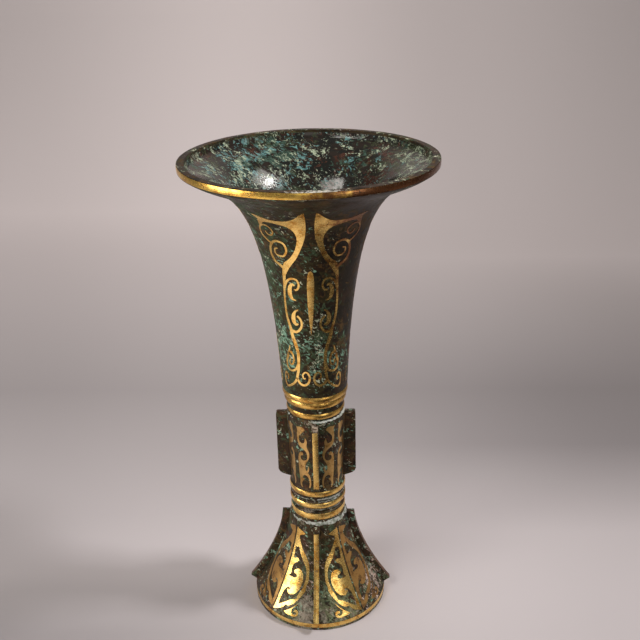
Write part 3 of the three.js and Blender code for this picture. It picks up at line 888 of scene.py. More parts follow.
@dataclass(frozen=True)
class Inlay:
    """A motif cut from sheet gold and laid in a wall.

    Attributes:
        name: The inlay's name.
        motif: What is drawn.
        wall: Where it lies.
        proud: How far the gold stands off the wall, in millimetres.
        depth: How deep it reaches below the wall.
        cell: Size of the flat facets that bend round the wall, as degrees and millimetres.
        drift: Height and degrees that the hand-laid pattern leans round the wall, from bottom to top.
        step: About how far apart an outline's points are.
    """

    name: str
    motif: Motif
    wall: Wall
    proud: float = 0.14
    depth: float = 0.35
    cell: Pair = (3.0, 3.0)
    drift: tuple[Pair, ...] = ((0.0, 0.0),)
    step: float = 0.9

    def flat(self) -> Piece:
        """The motif as one flat slab: degrees along X, millimetres along Y and its thickness along Z."""
        outlines = self.motif.outlines(self.wall, self.step)
        slabs = [self._slab(i, outline) for i, outline in enumerate(outlines)]
        whole = slabs[0]
        for slab in slabs[1:]:
            whole = fused(whole, slab)
        edit(whole)
        bpy.ops.mesh.remove_doubles(threshold=1e-4)
        bpy.ops.mesh.dissolve_limited(angle_limit=math.radians(0.5))
        self._crease(whole)
        bpy.ops.object.mode_set(mode="OBJECT")
        for face in whole.data.polygons:
            face.material_index = int(any(holds(outlines[i], face.center) for i in self.motif.worn))
        return whole

    def _slab(self, number: int, outline: Sequence[Pair]) -> Piece:
        """One outline as a flat filled slab."""
        drawing = bpy.data.curves.new(f"{self.name}_sheet_{number}", "CURVE")
        drawing.dimensions = "2D"
        drawing.fill_mode = "BOTH"
        drawing.extrude = 0.5
        line = drawing.splines.new("POLY")
        line.points.add(len(outline) - 1)
        for point, (angle, height) in zip(line.points, outline):
            point.co = (angle, height, 0, 1)
        line.use_cyclic_u = True
        pick(placed(drawing.name, drawing))
        bpy.ops.object.convert(target="MESH")
        slab = bpy.context.object
        edit(slab)
        close(merge=1e-5)
        return slab

    def _crease(self, whole: Piece) -> None:
        """Cuts a slab in edit mode into cells, so that it can bend."""
        corners = [vertex.co for vertex in whole.data.vertices]
        for axis, cell in enumerate(self.cell):
            low, high = min(c[axis] for c in corners), max(c[axis] for c in corners)
            for k in range(math.ceil(low / cell), math.floor(high / cell) + 1):
                point, normal = Vector((0, 0, 0)), Vector((0, 0, 0))
                point[axis], normal[axis] = k * cell, 1
                bpy.ops.mesh.select_all(action="SELECT")
                bpy.ops.mesh.bisect(plane_co=point, plane_no=normal)

    def lean(self, height: float) -> float:
        """Degrees that the pattern has drifted round the wall at a height."""
        for (z0, a0), (z1, a1) in zip(self.drift, self.drift[1:]):
            if height <= z1:
                return a0 + (a1 - a0) * max(0.0, height - z0) / (z1 - z0)
        return self.drift[-1][1]

    def laid(self, flat: Piece, name: str, turn: float, mirror: int, spread: float) -> Piece:
        """A copy of the flat slab, bent into its place on the wall.

        Args:
            flat: The slab.
            name: The copy's name.
            turn: Degrees round the axis from the front.
            mirror: 1 for the right half of a panel, -1 for the left.
            spread: How much wider than drawn it is laid.

        Returns:
            The laid piece.
        """
        piece = placed(name, flat.data.copy())
        piece.data.name = name
        for vertex in piece.data.vertices:
            angle, height, level = vertex.co
            proud = self.proud if level > 0 else -self.depth
            around = turn + self.lean(height) + mirror * spread * angle
            vertex.co = self.wall.place(around, height, proud)
        edit(piece)
        close()
        soften(piece, 40)
        return piece

    def lay(
        self,
        cad: str,
        panels: Sequence[tuple[float, float, Finish]],
        worn: Finish | None = None,
        halves: Sequence[tuple[str, int]] = HALVES,
    ) -> None:
        """Lays the motif in each panel of its wall.

        Args:
            cad: What the names of the CAD nodes start with.
            panels: Turn, spread and finish of each panel.
            worn: The finish of the shapes that are worn.
            halves: End of the name and mirror of each half of a panel.
        """
        flat = self.flat()
        for number, (turn, spread, finish) in enumerate(panels, 1):
            for half, mirror in halves:
                piece = self.laid(flat, f"{self.name}_{number}{half}", turn, mirror, spread)
                hand_over(piece, Slot.GOLD, finish, f"{cad}_{number}{half}")
                if worn:
                    piece.data.materials.append(worn)
        bpy.data.objects.remove(flat)


NECK_SCROLL = Motif(
    shapes=(
        (
            [(3.4, 276), (3.4, 271), (4.7, 264), (8.9, 256.6), (13.9, 251), (19.8, 246.7), (24.2, 243.5),
             (28.2, 239.9)],
            [(30.4, 241.6), (31, 244.8)],
            [(28.7, 247.3), (23.5, 249.4), (17.5, 253.3), (13.9, 257.4), (11.9, 261.9), (11.9, 265.4),
             (14.2, 268.8), (17.2, 270.7), (20.6, 271.8), (24.2, 272.4), (28.2, 272.8), (31.9, 273.1),
             (35.5, 273.1), (38.4, 272.9)],
            [(41.2, 271.4), (43.4, 269.6), (45.4, 268.4)],
            [(45.3, 270.4), (44.3, 272.8), (43.3, 274.6)],
            [(45.2, 275.6), (47.4, 277)],
            [(43.6, 276.9), (40.4, 276.4), (36.4, 275.8), (32.6, 275.2), (28.2, 274.9), (23.7, 274.9),
             (18.6, 275.2), (14, 276.2), (10.4, 277.8), (6.4, 280.6), (4, 281.8)],
        ),
    ),
    ribbons=(
        [(28.1, 244.6, 3.2), (30.9, 240, 2.2), (32.6, 234.4, 1.6), (34.2, 228.6, 1.4), (35.6, 220, 1.3),
         (34.8, 211.6, 1.5), (30.8, 204.6, 1.9), (28.4, 199, 2.2), (24.2, 193.6, 2.1), (21.4, 188.1, 1.9),
         (21.3, 182.2, 1.8), (22.4, 176.7, 1.7), (25.7, 170.6, 1.6)],
        [(30, 243.8, 1.8), (34.3, 245.5, 1.8), (40.6, 247.8, 1.7), (43, 252.2, 1.6), (40.8, 257, 1.5),
         (35.1, 260.4, 1.5), (29.8, 260.9, 1.5), (24.7, 259.2, 1.4), (23.5, 255.3, 1.3), (27, 251.9, 1.2),
         (32.7, 251.4, 1.1), (36.8, 252.8, 1), (36.5, 255.4, 1), (32.9, 256.2, 0.9)],
        [(37.6, 258.6, 1.3), (43.1, 260.6, 1.3), (47.6, 264, 1.2), (46.5, 268, 1.2), (41.1, 270.6, 1.1),
         (35.6, 269.8, 1), (33.2, 266.8, 1), (35.8, 264.4, 0.9), (40.1, 264.8, 0.9), (41.2, 266.6, 0.8)],
        [(34.4, 228.4, 1.2), (31.5, 232.8, 1.3), (27.7, 236, 1.3), (21.3, 237.5, 1.3), (15.8, 236.5, 1.2),
         (14.1, 233.5, 1.2), (16.7, 230.6, 1.2), (20.7, 230.4, 1.1)],
        [(19.5, 233, 0.9), (22, 233.9, 1.4), (25.3, 232, 2.2), (26.6, 228.7, 2.7), (25.9, 226, 2.4),
         (23.4, 224.2, 1.5), (19, 223.6, 0.5)],
        [(29.7, 202.6, 2.2), (25.9, 202.8, 2), (22.1, 202.6, 1.6), (15.4, 205, 1.4), (13, 208.1, 1.3),
         (14.6, 211.1, 1.3), (19, 213.4, 1.2)],
        [(17, 217.6, 0.5), (22.1, 215.8, 1.4), (24.7, 212.8, 2.5), (24.6, 209.8, 2.6), (21.7, 207.6, 1.6),
         (18.2, 208.2, 0.9)],
        [(22.4, 180.4, 1.5), (26.2, 177.4, 1.5), (31.4, 175.8, 1.4), (38.2, 175.4, 1.3), (43.8, 177.4, 1.3),
         (44.1, 181.2, 1.4), (40.9, 185, 1.8), (37.5, 189, 1.3), (35.2, 192.6, 0.5)],
        [(39.8, 186.4, 1.6), (34.6, 188, 1.8), (31, 186.4, 1.3), (29.6, 183, 1.1), (32.6, 180, 1),
         (37, 179.8, 0.9), (38.3, 181.8, 0.9), (35.6, 183.2, 0.8)],
        [(25.7, 171.1, 1.7), (20.6, 167.8, 1.5), (12.1, 166.8, 1.4), (5.3, 169, 1.3), (3.7, 172.2, 1.2),
         (6.5, 175.1, 1.1), (11.4, 175.6, 1), (15, 173.6, 1), (13.7, 171.4, 0.9), (10.4, 171.7, 0.8)],
        [(24.5, 171.6, 1.6), (28.4, 168.6, 1.4), (35.3, 165.8, 1.4), (43.3, 163.9, 1.4), (48.9, 163.6, 1.4),
         (52.3, 165.9, 1.3), (52.3, 169.8, 1.2), (49.5, 172.6, 1.1), (44.9, 171.8, 1), (43.8, 169.4, 0.9),
         (46.6, 168, 0.8)],
    ),
    worn=(3,),
)

NECK_SPINDLE = Motif(
    shapes=(
        (
            [(2.2, 242), (3.6, 239), (4.3, 234), (4.3, 227), (3.6, 218), (2.2, 209), (0, 201)],
            [(-2.2, 209), (-3.6, 218), (-4.3, 227), (-4.3, 234), (-3.6, 239), (-2.2, 242), (0, 243)],
        ),
    ),
)

MIDDLE_SCROLL = Motif(
    shapes=(
        (
            [(37.4, 135.3), (33.2, 135.7), (27.4, 135.8), (23.2, 135.2), (20.6, 134)],
            [(23.9, 132.9), (27.5, 131.5), (31.5, 130), (34.2, 128.6), (35, 127.1), (33.9, 125.3),
             (30.7, 124.2), (27, 124), (24.1, 124.4), (22.3, 125.6), (21.7, 126.8), (21, 128.3)],
            [(18.5, 126.8), (17.4, 125.3), (18.4, 123.3), (18.2, 121.5), (16.3, 119.9), (14, 118.1),
             (13.4, 116.3), (14.3, 114.1), (16.7, 112.1), (19.8, 110.3), (22.5, 108.7), (23.8, 106.8),
             (23.6, 105), (22.2, 103.7), (19.6, 104.2), (18.1, 105.5), (16.8, 107.7)],
            [(15.1, 105.8), (15.8, 103.9), (18.3, 102.4)],
            [(14.9, 100.6), (12.8, 98.3), (11.8, 95.7), (12.3, 93.3), (14.4, 90.9)],
            [(17.1, 91.1)],
            [(15.4, 94), (15.7, 96.3), (17, 98.1), (19.8, 99.6), (23.2, 100.3), (27.1, 100.1), (30.2, 99.2),
             (31.5, 97.9)],
            [(29.5, 97.5), (26.8, 97.6)],
            [(27.1, 96.9), (30.4, 95.8), (33.1, 94.3), (33.8, 92.1), (32.1, 90.2)],
            [(34.4, 90.2)],
            [(38.1, 92.7), (37.6, 95.9), (38.2, 98.1), (38.9, 100.7), (39.3, 104.1), (39.5, 106.4),
             (39.4, 109), (39.3, 111.7), (38.5, 114), (36.5, 115.8), (32.9, 117.1), (29.7, 117.2),
             (27.4, 116.5), (27.2, 115.3)],
            [(29.4, 114.9), (32.2, 114.6), (33.8, 113.7), (33.6, 112.5), (32, 111.6), (29.2, 111.2),
             (25.6, 111.2), (22.3, 111.6), (19.5, 112.5), (18.2, 114.1), (18.3, 115.9), (19.4, 117.3),
             (21.6, 118.4), (24.8, 119.5), (29.1, 120.3), (32.8, 121), (35.8, 122.1), (37.8, 123.6),
             (39.3, 125.4), (39.8, 127.4), (39.5, 129.5), (38.6, 131.5), (38.2, 133.1), (38.9, 134.4),
             (40.7, 135.5)],
        ),
    ),
)

FOOT_SCROLL = Motif(
    shapes=(
        (
            [(37.1, 58.9), (29.6, 58), (22.6, 56.6)],
            [(30.2, 55.3), (34.8, 54.5)],
            [(34.6, 52.7), (32.5, 50.5), (31.5, 48.3), (33.3, 46.8)],
            [(39.6, 46.3)],
            [(39.6, 43.4), (39.3, 41.1), (39.2, 39.3)],
            [(36, 39.2), (33.2, 39.8)],
            [(30.6, 39.6), (28.8, 38.6)],
            [(31.2, 37.2), (34.7, 36.1), (37, 34.6), (37.7, 33.1), (37.4, 31.3), (36.8, 29.8), (37.7, 28.8),
             (39.8, 27.9)],
            [(37, 27.6), (33.3, 27.6), (29.5, 27.8), (27.5, 28.7), (28.3, 29.8), (30.6, 30.3),
             (32.9, 30.7)],
            [(33, 31.6), (31, 32.8), (27.2, 33.4), (22.9, 33.1), (20, 31.9), (18.6, 29.9), (18.2, 27.5),
             (18.9, 25.3), (20.8, 22.6), (22.7, 20.8), (25.6, 19.1), (28.7, 18.2), (32.4, 17.9), (35, 18.7),
             (36.1, 19.5), (35.6, 20.3)],
            [(33.6, 20.1), (32.6, 20.8), (33.7, 21.3), (35.3, 21.3), (37.4, 20.5), (39.4, 18.9), (40.3, 17),
             (40.8, 14.7), (41.2, 12.5), (40.8, 10.1)],
            [(42.8, 8.1), (44.3, 6.8)],
            [(44.2, 9), (44.2, 13.8), (44.1, 19.1), (44, 25), (43.9, 30), (43.8, 35.7), (43.7, 40.8),
             (43.6, 45.7), (43.5, 51.1), (43.4, 54), (43.4, 57), (42, 59.8)],
        ),
        (
            [(32.7, 51), (29.2, 48.6), (26.1, 46.5), (22.5, 44.6), (18.4, 42.7), (14.9, 40.5), (12.5, 38.2),
             (11.1, 35.2), (10.8, 31.8), (10.7, 28.9), (11.6, 26.4), (13.2, 24.3)],
            [(13.3, 22.3), (14.7, 20.8), (16.7, 19.1), (19.4, 17.1), (21.9, 15.2), (25.1, 13.3), (28.5, 12),
             (30.4, 11.6)],
            [(32.3, 11.8), (33.4, 11.1)],
            [(34.4, 10.1), (36.6, 9), (40.1, 7.8), (44.3, 6.8)],
            [(42.8, 8.8), (40.9, 10.2)],
            [(37.7, 11.3), (34.4, 12.8), (30.8, 14.3), (27.2, 15.6), (23.9, 16.3), (22.4, 17.2), (22, 18.4),
             (20.8, 19.8), (18.9, 21.4), (17.2, 23.1), (16.6, 24.4), (15.7, 26.1), (14.7, 28.6),
             (14.5, 31.6), (15.3, 34.1), (17.7, 36.5), (20.7, 38.4), (23.7, 40.1), (26.6, 41.9),
             (29.2, 43.9), (31.3, 45.9), (34.2, 47.6)],
            [(37, 51), (35.5, 53.3)],
        ),
    ),
    worn=(1,),
)

FOOT_LEAF = Motif(
    shapes=(
        (
            [(22.4, 12.8), (25.5, 11.1), (29.3, 9.4), (32.5, 8.1)],
            [(28.9, 7.5), (25, 7.2), (21.3, 7.1), (18.6, 7.7), (17.7, 8.7), (18, 10), (19.5, 10.7),
             (21.4, 10.7), (22.4, 10), (22.2, 9.3)],
            [(21.2, 9.5), (20.3, 9.5), (19.5, 9.2), (20, 8.6), (21.8, 8.1), (23.7, 8.3), (24.8, 9.1),
             (25, 10.3), (24, 11.3), (21.7, 12.6), (20.1, 13.9), (18.9, 15)],
        ),
    ),
)


# Sub-assemblies


@dataclass
class Collar:
    """One gold band in its groove, with a rounded face."""

    name: str
    node: str
    radius: float
    low: float
    high: float
    bulge: float = 0.5
    thickness: float = 1.0

    def build(self, finish: Finish, sides: int = BAND_SIDES) -> Piece:
        """The band as a turned piece.

        Args:
            finish: Its gold.
            sides: How many sides it has.

        Returns:
            The dressed band.
        """
        middle, half = (self.low + self.high) / 2, (self.high - self.low) / 2
        face = []
        for share in (k / 4 for k in range(-4, 5)):
            swell = self.bulge * (1 - abs(share) ** BAND_ROUNDNESS)
            face.append((self.radius + swell, middle + share * half))
        seat = self.radius - self.thickness
        ring = turned(self.name, [(seat, self.low), *face, (seat, self.high)], sides)
        hand_worn(ring, BAND_WORK)
        soften(ring, 50)
        return hand_over(ring, Slot.GOLD, finish, self.node)


@dataclass
class Neck:
    """The trumpet neck with its collar, its lip and its scrolls."""

    base_radius: float = 20.1
    base_height: float = 157.9
    lean: float = 5.9
    straight: float = 140.7
    mouth_radius: float = 73.0
    lip_low: float = 295.8
    lip_top: float = 300.0
    mouth_reach: float = 21.1
    mouth_drop: float = 15.5
    wall_thickness: float = 2.6
    rim_width: float = 4.4
    leaves: int = 3
    sides: int = 168
    drift: tuple[Pair, ...] = (
        (160, -1.8), (172, -1.5), (187, -0.6), (205, 0.0), (236, 1.3), (254, 1.8), (270, 2.6), (282, 3.0),
    )
    line: list[Pair] = field(init=False)

    def __post_init__(self) -> None:
        """Works out the outer line once."""
        mouth = self.mouth_radius - 0.4
        self.line = curve(
            (self.base_radius, self.base_height),
            (self.base_radius + self.lean, self.base_height + self.straight),
            (mouth - self.mouth_reach, self.lip_low - self.mouth_drop),
            (mouth, self.lip_low),
            44,
        )

    def bore(self) -> list[Pair]:
        """The inner line: the outer one moved in by the wall's thickness."""
        made = []
        for i, (radius, height) in enumerate(self.line):
            r0, z0 = self.line[max(i - 1, 0)]
            r1, z1 = self.line[min(i + 1, len(self.line) - 1)]
            length = math.hypot(r1 - r0, z1 - z0)
            reach = self.wall_thickness / length
            made.append((radius - reach * (z1 - z0), height + reach * (r1 - r0)))
        return made

    def casting(self, finish: Finish, inside: Finish, edge: Finish) -> Piece:
        """The neck's bronze, from its spigot to its lip.

        Args:
            finish: The finish outside.
            inside: The finish in the mouth.
            edge: The finish on top of the lip.

        Returns:
            The dressed casting.
        """
        rim = self.mouth_radius - self.rim_width
        hollow = [p for p in reversed(self.bore()) if p[0] < rim - 0.9]
        outside = [
            (13.9, 133.6), (13.9, 140.8), (17.2, 140.8), (17.7, 141.4), (17.8, 141.8),
            (16.85, 141.8), (16.85, 145.4), (17.8, 145.4), (17.5, 146.2), (17.3, 147.4), (17.5, 148.8),
            (18.6, 149.5), (18.0, 149.6), (18.0, 153.4), (18.3, 153.5), (18.3, 154.0), (19.0, 154.1),
            (19.0, 157.9),
        ]
        edge_radius, top = self.mouth_radius, self.lip_top
        lip = [
            (edge_radius, 296.2), (edge_radius - 1.1, 296.3), (edge_radius - 1.1, 299.75),
            (edge_radius - 0.1, 299.8), (edge_radius - 0.4, top), (rim + 0.4, top), (rim, top - 0.3),
            (rim - 0.3, 298.4),
        ]
        throat = [(11.6, 140.6), (11.6, 133.6)]
        body = turned("neck_casting", [*outside, *self.line, *lip, *hollow, *throat], self.sides)
        cast(body, finish, "neck")
        body.data.materials.append(inside)
        body.data.materials.append(edge)
        for face in body.data.polygons:
            outward = face.normal.x * face.center.x + face.normal.y * face.center.y
            within = Vector(face.center[:2]).length < (rim - 0.2) * MM
            if face.normal.z > UPWARD and face.center.z > self.lip_low * MM:
                face.material_index = 2
            elif outward < 0 and within and face.center.z > self.base_height * MM:
                face.material_index = 1
        return body

    def bands(self, finish: Finish, lip: Finish) -> None:
        """The gold on the collar, and that on the lip, which has a finish of its own."""
        Collar("lip_ring", "lip_band", 72.95, 296.35, 299.7, 0.2).build(lip, self.sides)
        Collar("collar_ring_upper", "collar_band_upper", 19.9, 154.1, 157.8, 0.45).build(finish)
        Collar("collar_ring_middle", "collar_band_middle", 18.9, 149.6, 153.3, 0.45).build(finish)
        Collar("collar_ring_lower", "collar_band_lower", 17.8, 141.8, 145.3, 0.4).build(finish)

    def scrolls(self, finish: Finish, worn: Finish) -> None:
        """The neck's inlays, three times round."""
        wall = Wall(tuple(self.line))
        panels = [(leaf * 360 / self.leaves, 1.0, finish) for leaf in range(self.leaves)]
        Inlay("neck_inlay", NECK_SCROLL, wall, drift=self.drift).lay("neck_scroll", panels, worn)
        Inlay("neck_spine", NECK_SPINDLE, wall, drift=self.drift).lay("neck_spindle", panels, worn, WHOLE)


@dataclass
class Flanged:
    """A section of the vase with four flanges, whose edges have gold strips.

    Attributes:
        flange_thickness: How thick a flange is.
        flange_bevel: Width of its rounded edges.
        strip_thickness: How far a strip reaches into its flange.
        strip_width: How wide a strip is.
        strip_bevel: Width of its rounded edges.
        turn: Degrees that the section stands turned.
    """

    flange_thickness: float = 3.8
    flange_bevel: float = 0.25
    strip_thickness: float = 1.0
    strip_width: float = 3.3
    strip_bevel: float = 0.12
    turn: float = 0.0

    def flanged(self, body: Piece, outline: Sequence[Pair]) -> Piece:
        """A body with four flanges of one outline fused to it."""
        for side in range(4):
            flange = plate("flange", outline, self.flange_thickness, self.flange_bevel, side, self.turn)
            body = fused(body, flange)
        return body

    def strips(self, stem: str, outline: Sequence[Pair], finish: Finish, side_shade_finish: Finish) -> None:
        """The strips on the flanges' edges, those on the left and right in darker gold: painted shade, with
        heavier wear.

        Args:
            stem: What their names start with.
            outline: Radius and height of each point of one strip.
            finish: The gold of those at the front and back.
            side_shade_finish: The gold of those on the left and right, darkened as painted shade and more
                worn.
        """
        for side in range(4):
            name = f"{stem}_strip_{side + 1}"
            strip = plate(name, outline, self.strip_width, self.strip_bevel, side, self.turn)
            soften(strip)
            # The left and right strips, seen edge on, take the gold with painted shade.
            hand_over(strip, Slot.GOLD, finish if side % 2 else side_shade_finish, f"{stem}_flange_strip_{side + 1}")


@dataclass
class MiddleSection(Flanged):
    """The straight middle section with its four flanges."""

    base_radius: float = 16.6
    top_radius: float = 18.3
    low: float = 90.2
    high: float = 138.4
    flange_radius: float = 25.0
    strip_proud: float = 0.12
    sides: int = 120
    turn: float = 0.9

    def flange_outline(self) -> list[Pair]:
        """One flange in the plane through the axis."""
        edge = self.flange_radius - self.strip_proud
        return [
            (15.6, 91.4), (17.6, 91.0), (20.0, 91.9), (22.6, 93.0), (24.2, 94.3), (edge, 96.2), (edge, 137.6),
            (edge - 0.6, 138.2), (15.6, 138.3),
        ]

    def casting(self, finish: Finish) -> Piece:
        """The middle section's bronze."""
        outline = [
            (13.0, 74.0), (13.0, 81.2), (16.5, 81.2), (17.4, 81.9), (17.7, 83.2), (17.6, 84.4), (17.7, 84.8),
            (16.75, 84.8), (16.75, 88.6), (17.6, 88.7), (17.1, 89.3), (16.7, 90.2),
            (self.base_radius + 0.6, 106.0), (self.base_radius + 1.15, 122.0), (self.top_radius, self.high),
            (18.2, 139.3), (17.4, 140.1), (16.9, 140.6), (14.2, 140.6), (14.2, 86.0), (10.7, 86.0),
            (10.7, 74.0),
        ]
        body = turned("middle_casting", outline, self.sides)
        return cast(self.flanged(body, self.flange_outline()), finish, "middle_section")

    def gold(self, finish: Finish, side_shade_finish: Finish) -> None:
        """The base band and the strips on the flanges' edges, those on the left and right in darker gold:
        painted shade, with heavier wear.
        """
        Collar("base_ring", "middle_base_band", 17.7, 84.8, 88.5, 0.4).build(finish)
        inner, edge = self.flange_radius - self.strip_thickness, self.flange_radius
        outline = [(inner, 94.6), (edge, 96.2), (edge, 136.6), (inner, 136.6)]
        self.strips("middle", outline, finish, side_shade_finish)

    def scrolls(self, finish: Finish) -> None:
        """The middle section's inlays, four times round."""
        wall = Wall(((self.base_radius, self.low), (self.top_radius, self.high)))
        panels = [(side * 90 + self.turn, 1.0, finish) for side in range(4)]
        Inlay("middle_inlay", MIDDLE_SCROLL, wall).lay("middle_scroll", panels)


@dataclass
class Foot(Flanged):
    """The flared foot with its rings and four flanges.

    Attributes:
        panel_spread: How much wider than drawn the gold lies in the front panel and in the side panels.
    """

    radius: float = 43.8
    edge_height: float = 5.6
    skirt_top: float = 62.6
    top_radius: float = 19.0
    lean: float = 1.0
    straight: float = 18.5
    reach: float = 9.2
    drop: float = 12.0
    proud: float = 4.8
    strip_proud: float = 0.12
    root_depth: float = 0.9
    sides: int = 144
    turn: float = -1.4
    panel_spread: tuple[float, float] = (0.965, 1.03)

    def skirt(
        self, proud: float = 0.0, foot_radius: float | None = None, top_radius: float | None = None
    ) -> list[Pair]:
        """A line that follows the skirt from its top to its foot.

        Args:
            proud: How far outside the skirt it runs, in millimetres.
            foot_radius: Radius at the foot, where it isn't the skirt's own.
            top_radius: Radius at the top, where it isn't the skirt's own.

        Returns:
            The line's points, from the top down.
        """
        length = math.hypot(self.reach, self.drop)
        outward, upward = self.drop / length, self.reach / length
        top = ((top_radius or self.top_radius) + proud, self.skirt_top)
        foot = ((foot_radius or self.radius) + proud * outward, self.edge_height + proud * upward)
        return curve(
            top,
            (top[0] + self.lean, top[1] - self.straight),
            (foot[0] - self.reach, foot[1] + self.drop),
            foot,
            28,
        )

    def flange_outline(self) -> list[Pair]:
        """One flange in the plane through the axis."""
        return [*self.skirt(self.proud - self.strip_proud), *reversed(self.skirt(-self.root_depth))]

    def casting(self, finish: Finish) -> Piece:
        """The foot's bronze."""
        outline = [
            (39.8, 0.0), (43.6, 0.0), (43.8, 0.3), (43.8, 1.8), (42.75, 1.9), (42.75, 5.1), (43.8, 5.15),
            *reversed(self.skirt()),
            (18.7, 63.6), (18.0, 65.2), (17.6, 66.8), (17.4, 67.4), (16.45, 67.4), (16.45, 71.8),
            (17.4, 71.8), (17.2, 72.5), (16.3, 73.0), (16.3, 74.6), (17.0, 75.2), (17.6, 76.0),
            (16.65, 76.0), (16.65, 79.8), (17.6, 79.8), (17.0, 80.5), (16.3, 81.0), (13.3, 81.0),
            (13.3, 73.7),
            *self.skirt(0.0, self.radius - 4, self.top_radius - 2.8),
        ]
        body = turned("foot_casting", outline, self.sides)
        return cast(self.flanged(body, self.flange_outline()), finish, "foot")

    def gold(self, finish: Finish, side_shade_finish: Finish) -> None:
        """The foot's bands and the strips on its flanges' edges, those on the left and right in darker gold:
        painted shade, with heavier wear.
        """
        Collar("stem_ring", "stem_ring_band", 17.6, 76.0, 79.7, 0.45).build(finish)
        Collar("foot_collar_ring", "foot_collar_band", 17.4, 67.4, 71.7, 0.35).build(finish)
        Collar("foot_rim_ring", "foot_rim_band", 43.75, 1.95, 5.0, 0.2).build(finish, self.sides)
        outline = [*self.skirt(self.proud)[1:], *reversed(self.skirt(self.proud - self.strip_thickness)[1:])]
        self.strips("foot", outline, finish, side_shade_finish)

    def scrolls(self, finish: Finish, worn: Finish) -> None:
        """The foot's inlays, four times round, worn all over in the side panels."""
        wall = Wall(tuple(reversed(self.skirt())))
        finishes = (finish, worn)
        panels = [
            (side * 90 + self.turn, self.panel_spread[side % 2], finishes[side % 2]) for side in range(4)
        ]
        Inlay("foot_inlay", FOOT_SCROLL, wall, cell=FOOT_CELL).lay("foot_scroll", panels, worn)
        Inlay("foot_sprig", FOOT_LEAF, wall, cell=FOOT_CELL).lay("foot_leaf", panels, worn)


# Studio


@dataclass(frozen=True)
class Lamp:
    """A soft lamp: a panel that looks at the vase.

    Attributes:
        name: Its name.
        azimuth: Degrees from the viewer's side, to the right.
        elevation: Degrees above the floor.
        distance: How far off it is, in metres.
        size: Its width and height, in metres.
        power: Its power, in watts.
        colour: Its light's colour.
        target: Where it looks.
        spread: The angle of its grid, in degrees.
    """

    name: str
    azimuth: float
    elevation: float
    distance: float
    size: Pair
    power: float
    colour: Colour = (1.0, 1.0, 1.0)
    target: Triple = (0.0, 0.0, 0.15)
    spread: float = 180.0

    def light(self, side: float) -> None:
        """Hangs the lamp, turned with the viewer's side."""
        data = bpy.data.lights.new(self.name, "AREA")
        data.shape = "RECTANGLE"
        data.size, data.size_y = self.size
        data.energy = self.power
        data.color = self.colour
        data.spread = math.radians(self.spread)
        lamp = placed(self.name, data)
        around, up = math.radians(self.azimuth + side), math.radians(self.elevation)
        reach = Vector((math.sin(around) * math.cos(up), -math.cos(around) * math.cos(up), math.sin(up)))
        lamp.location = Vector(self.target) + reach * self.distance
        lamp.rotation_euler = reach.to_track_quat("Z", "Y").to_euler()
        lamp.visible_camera = False


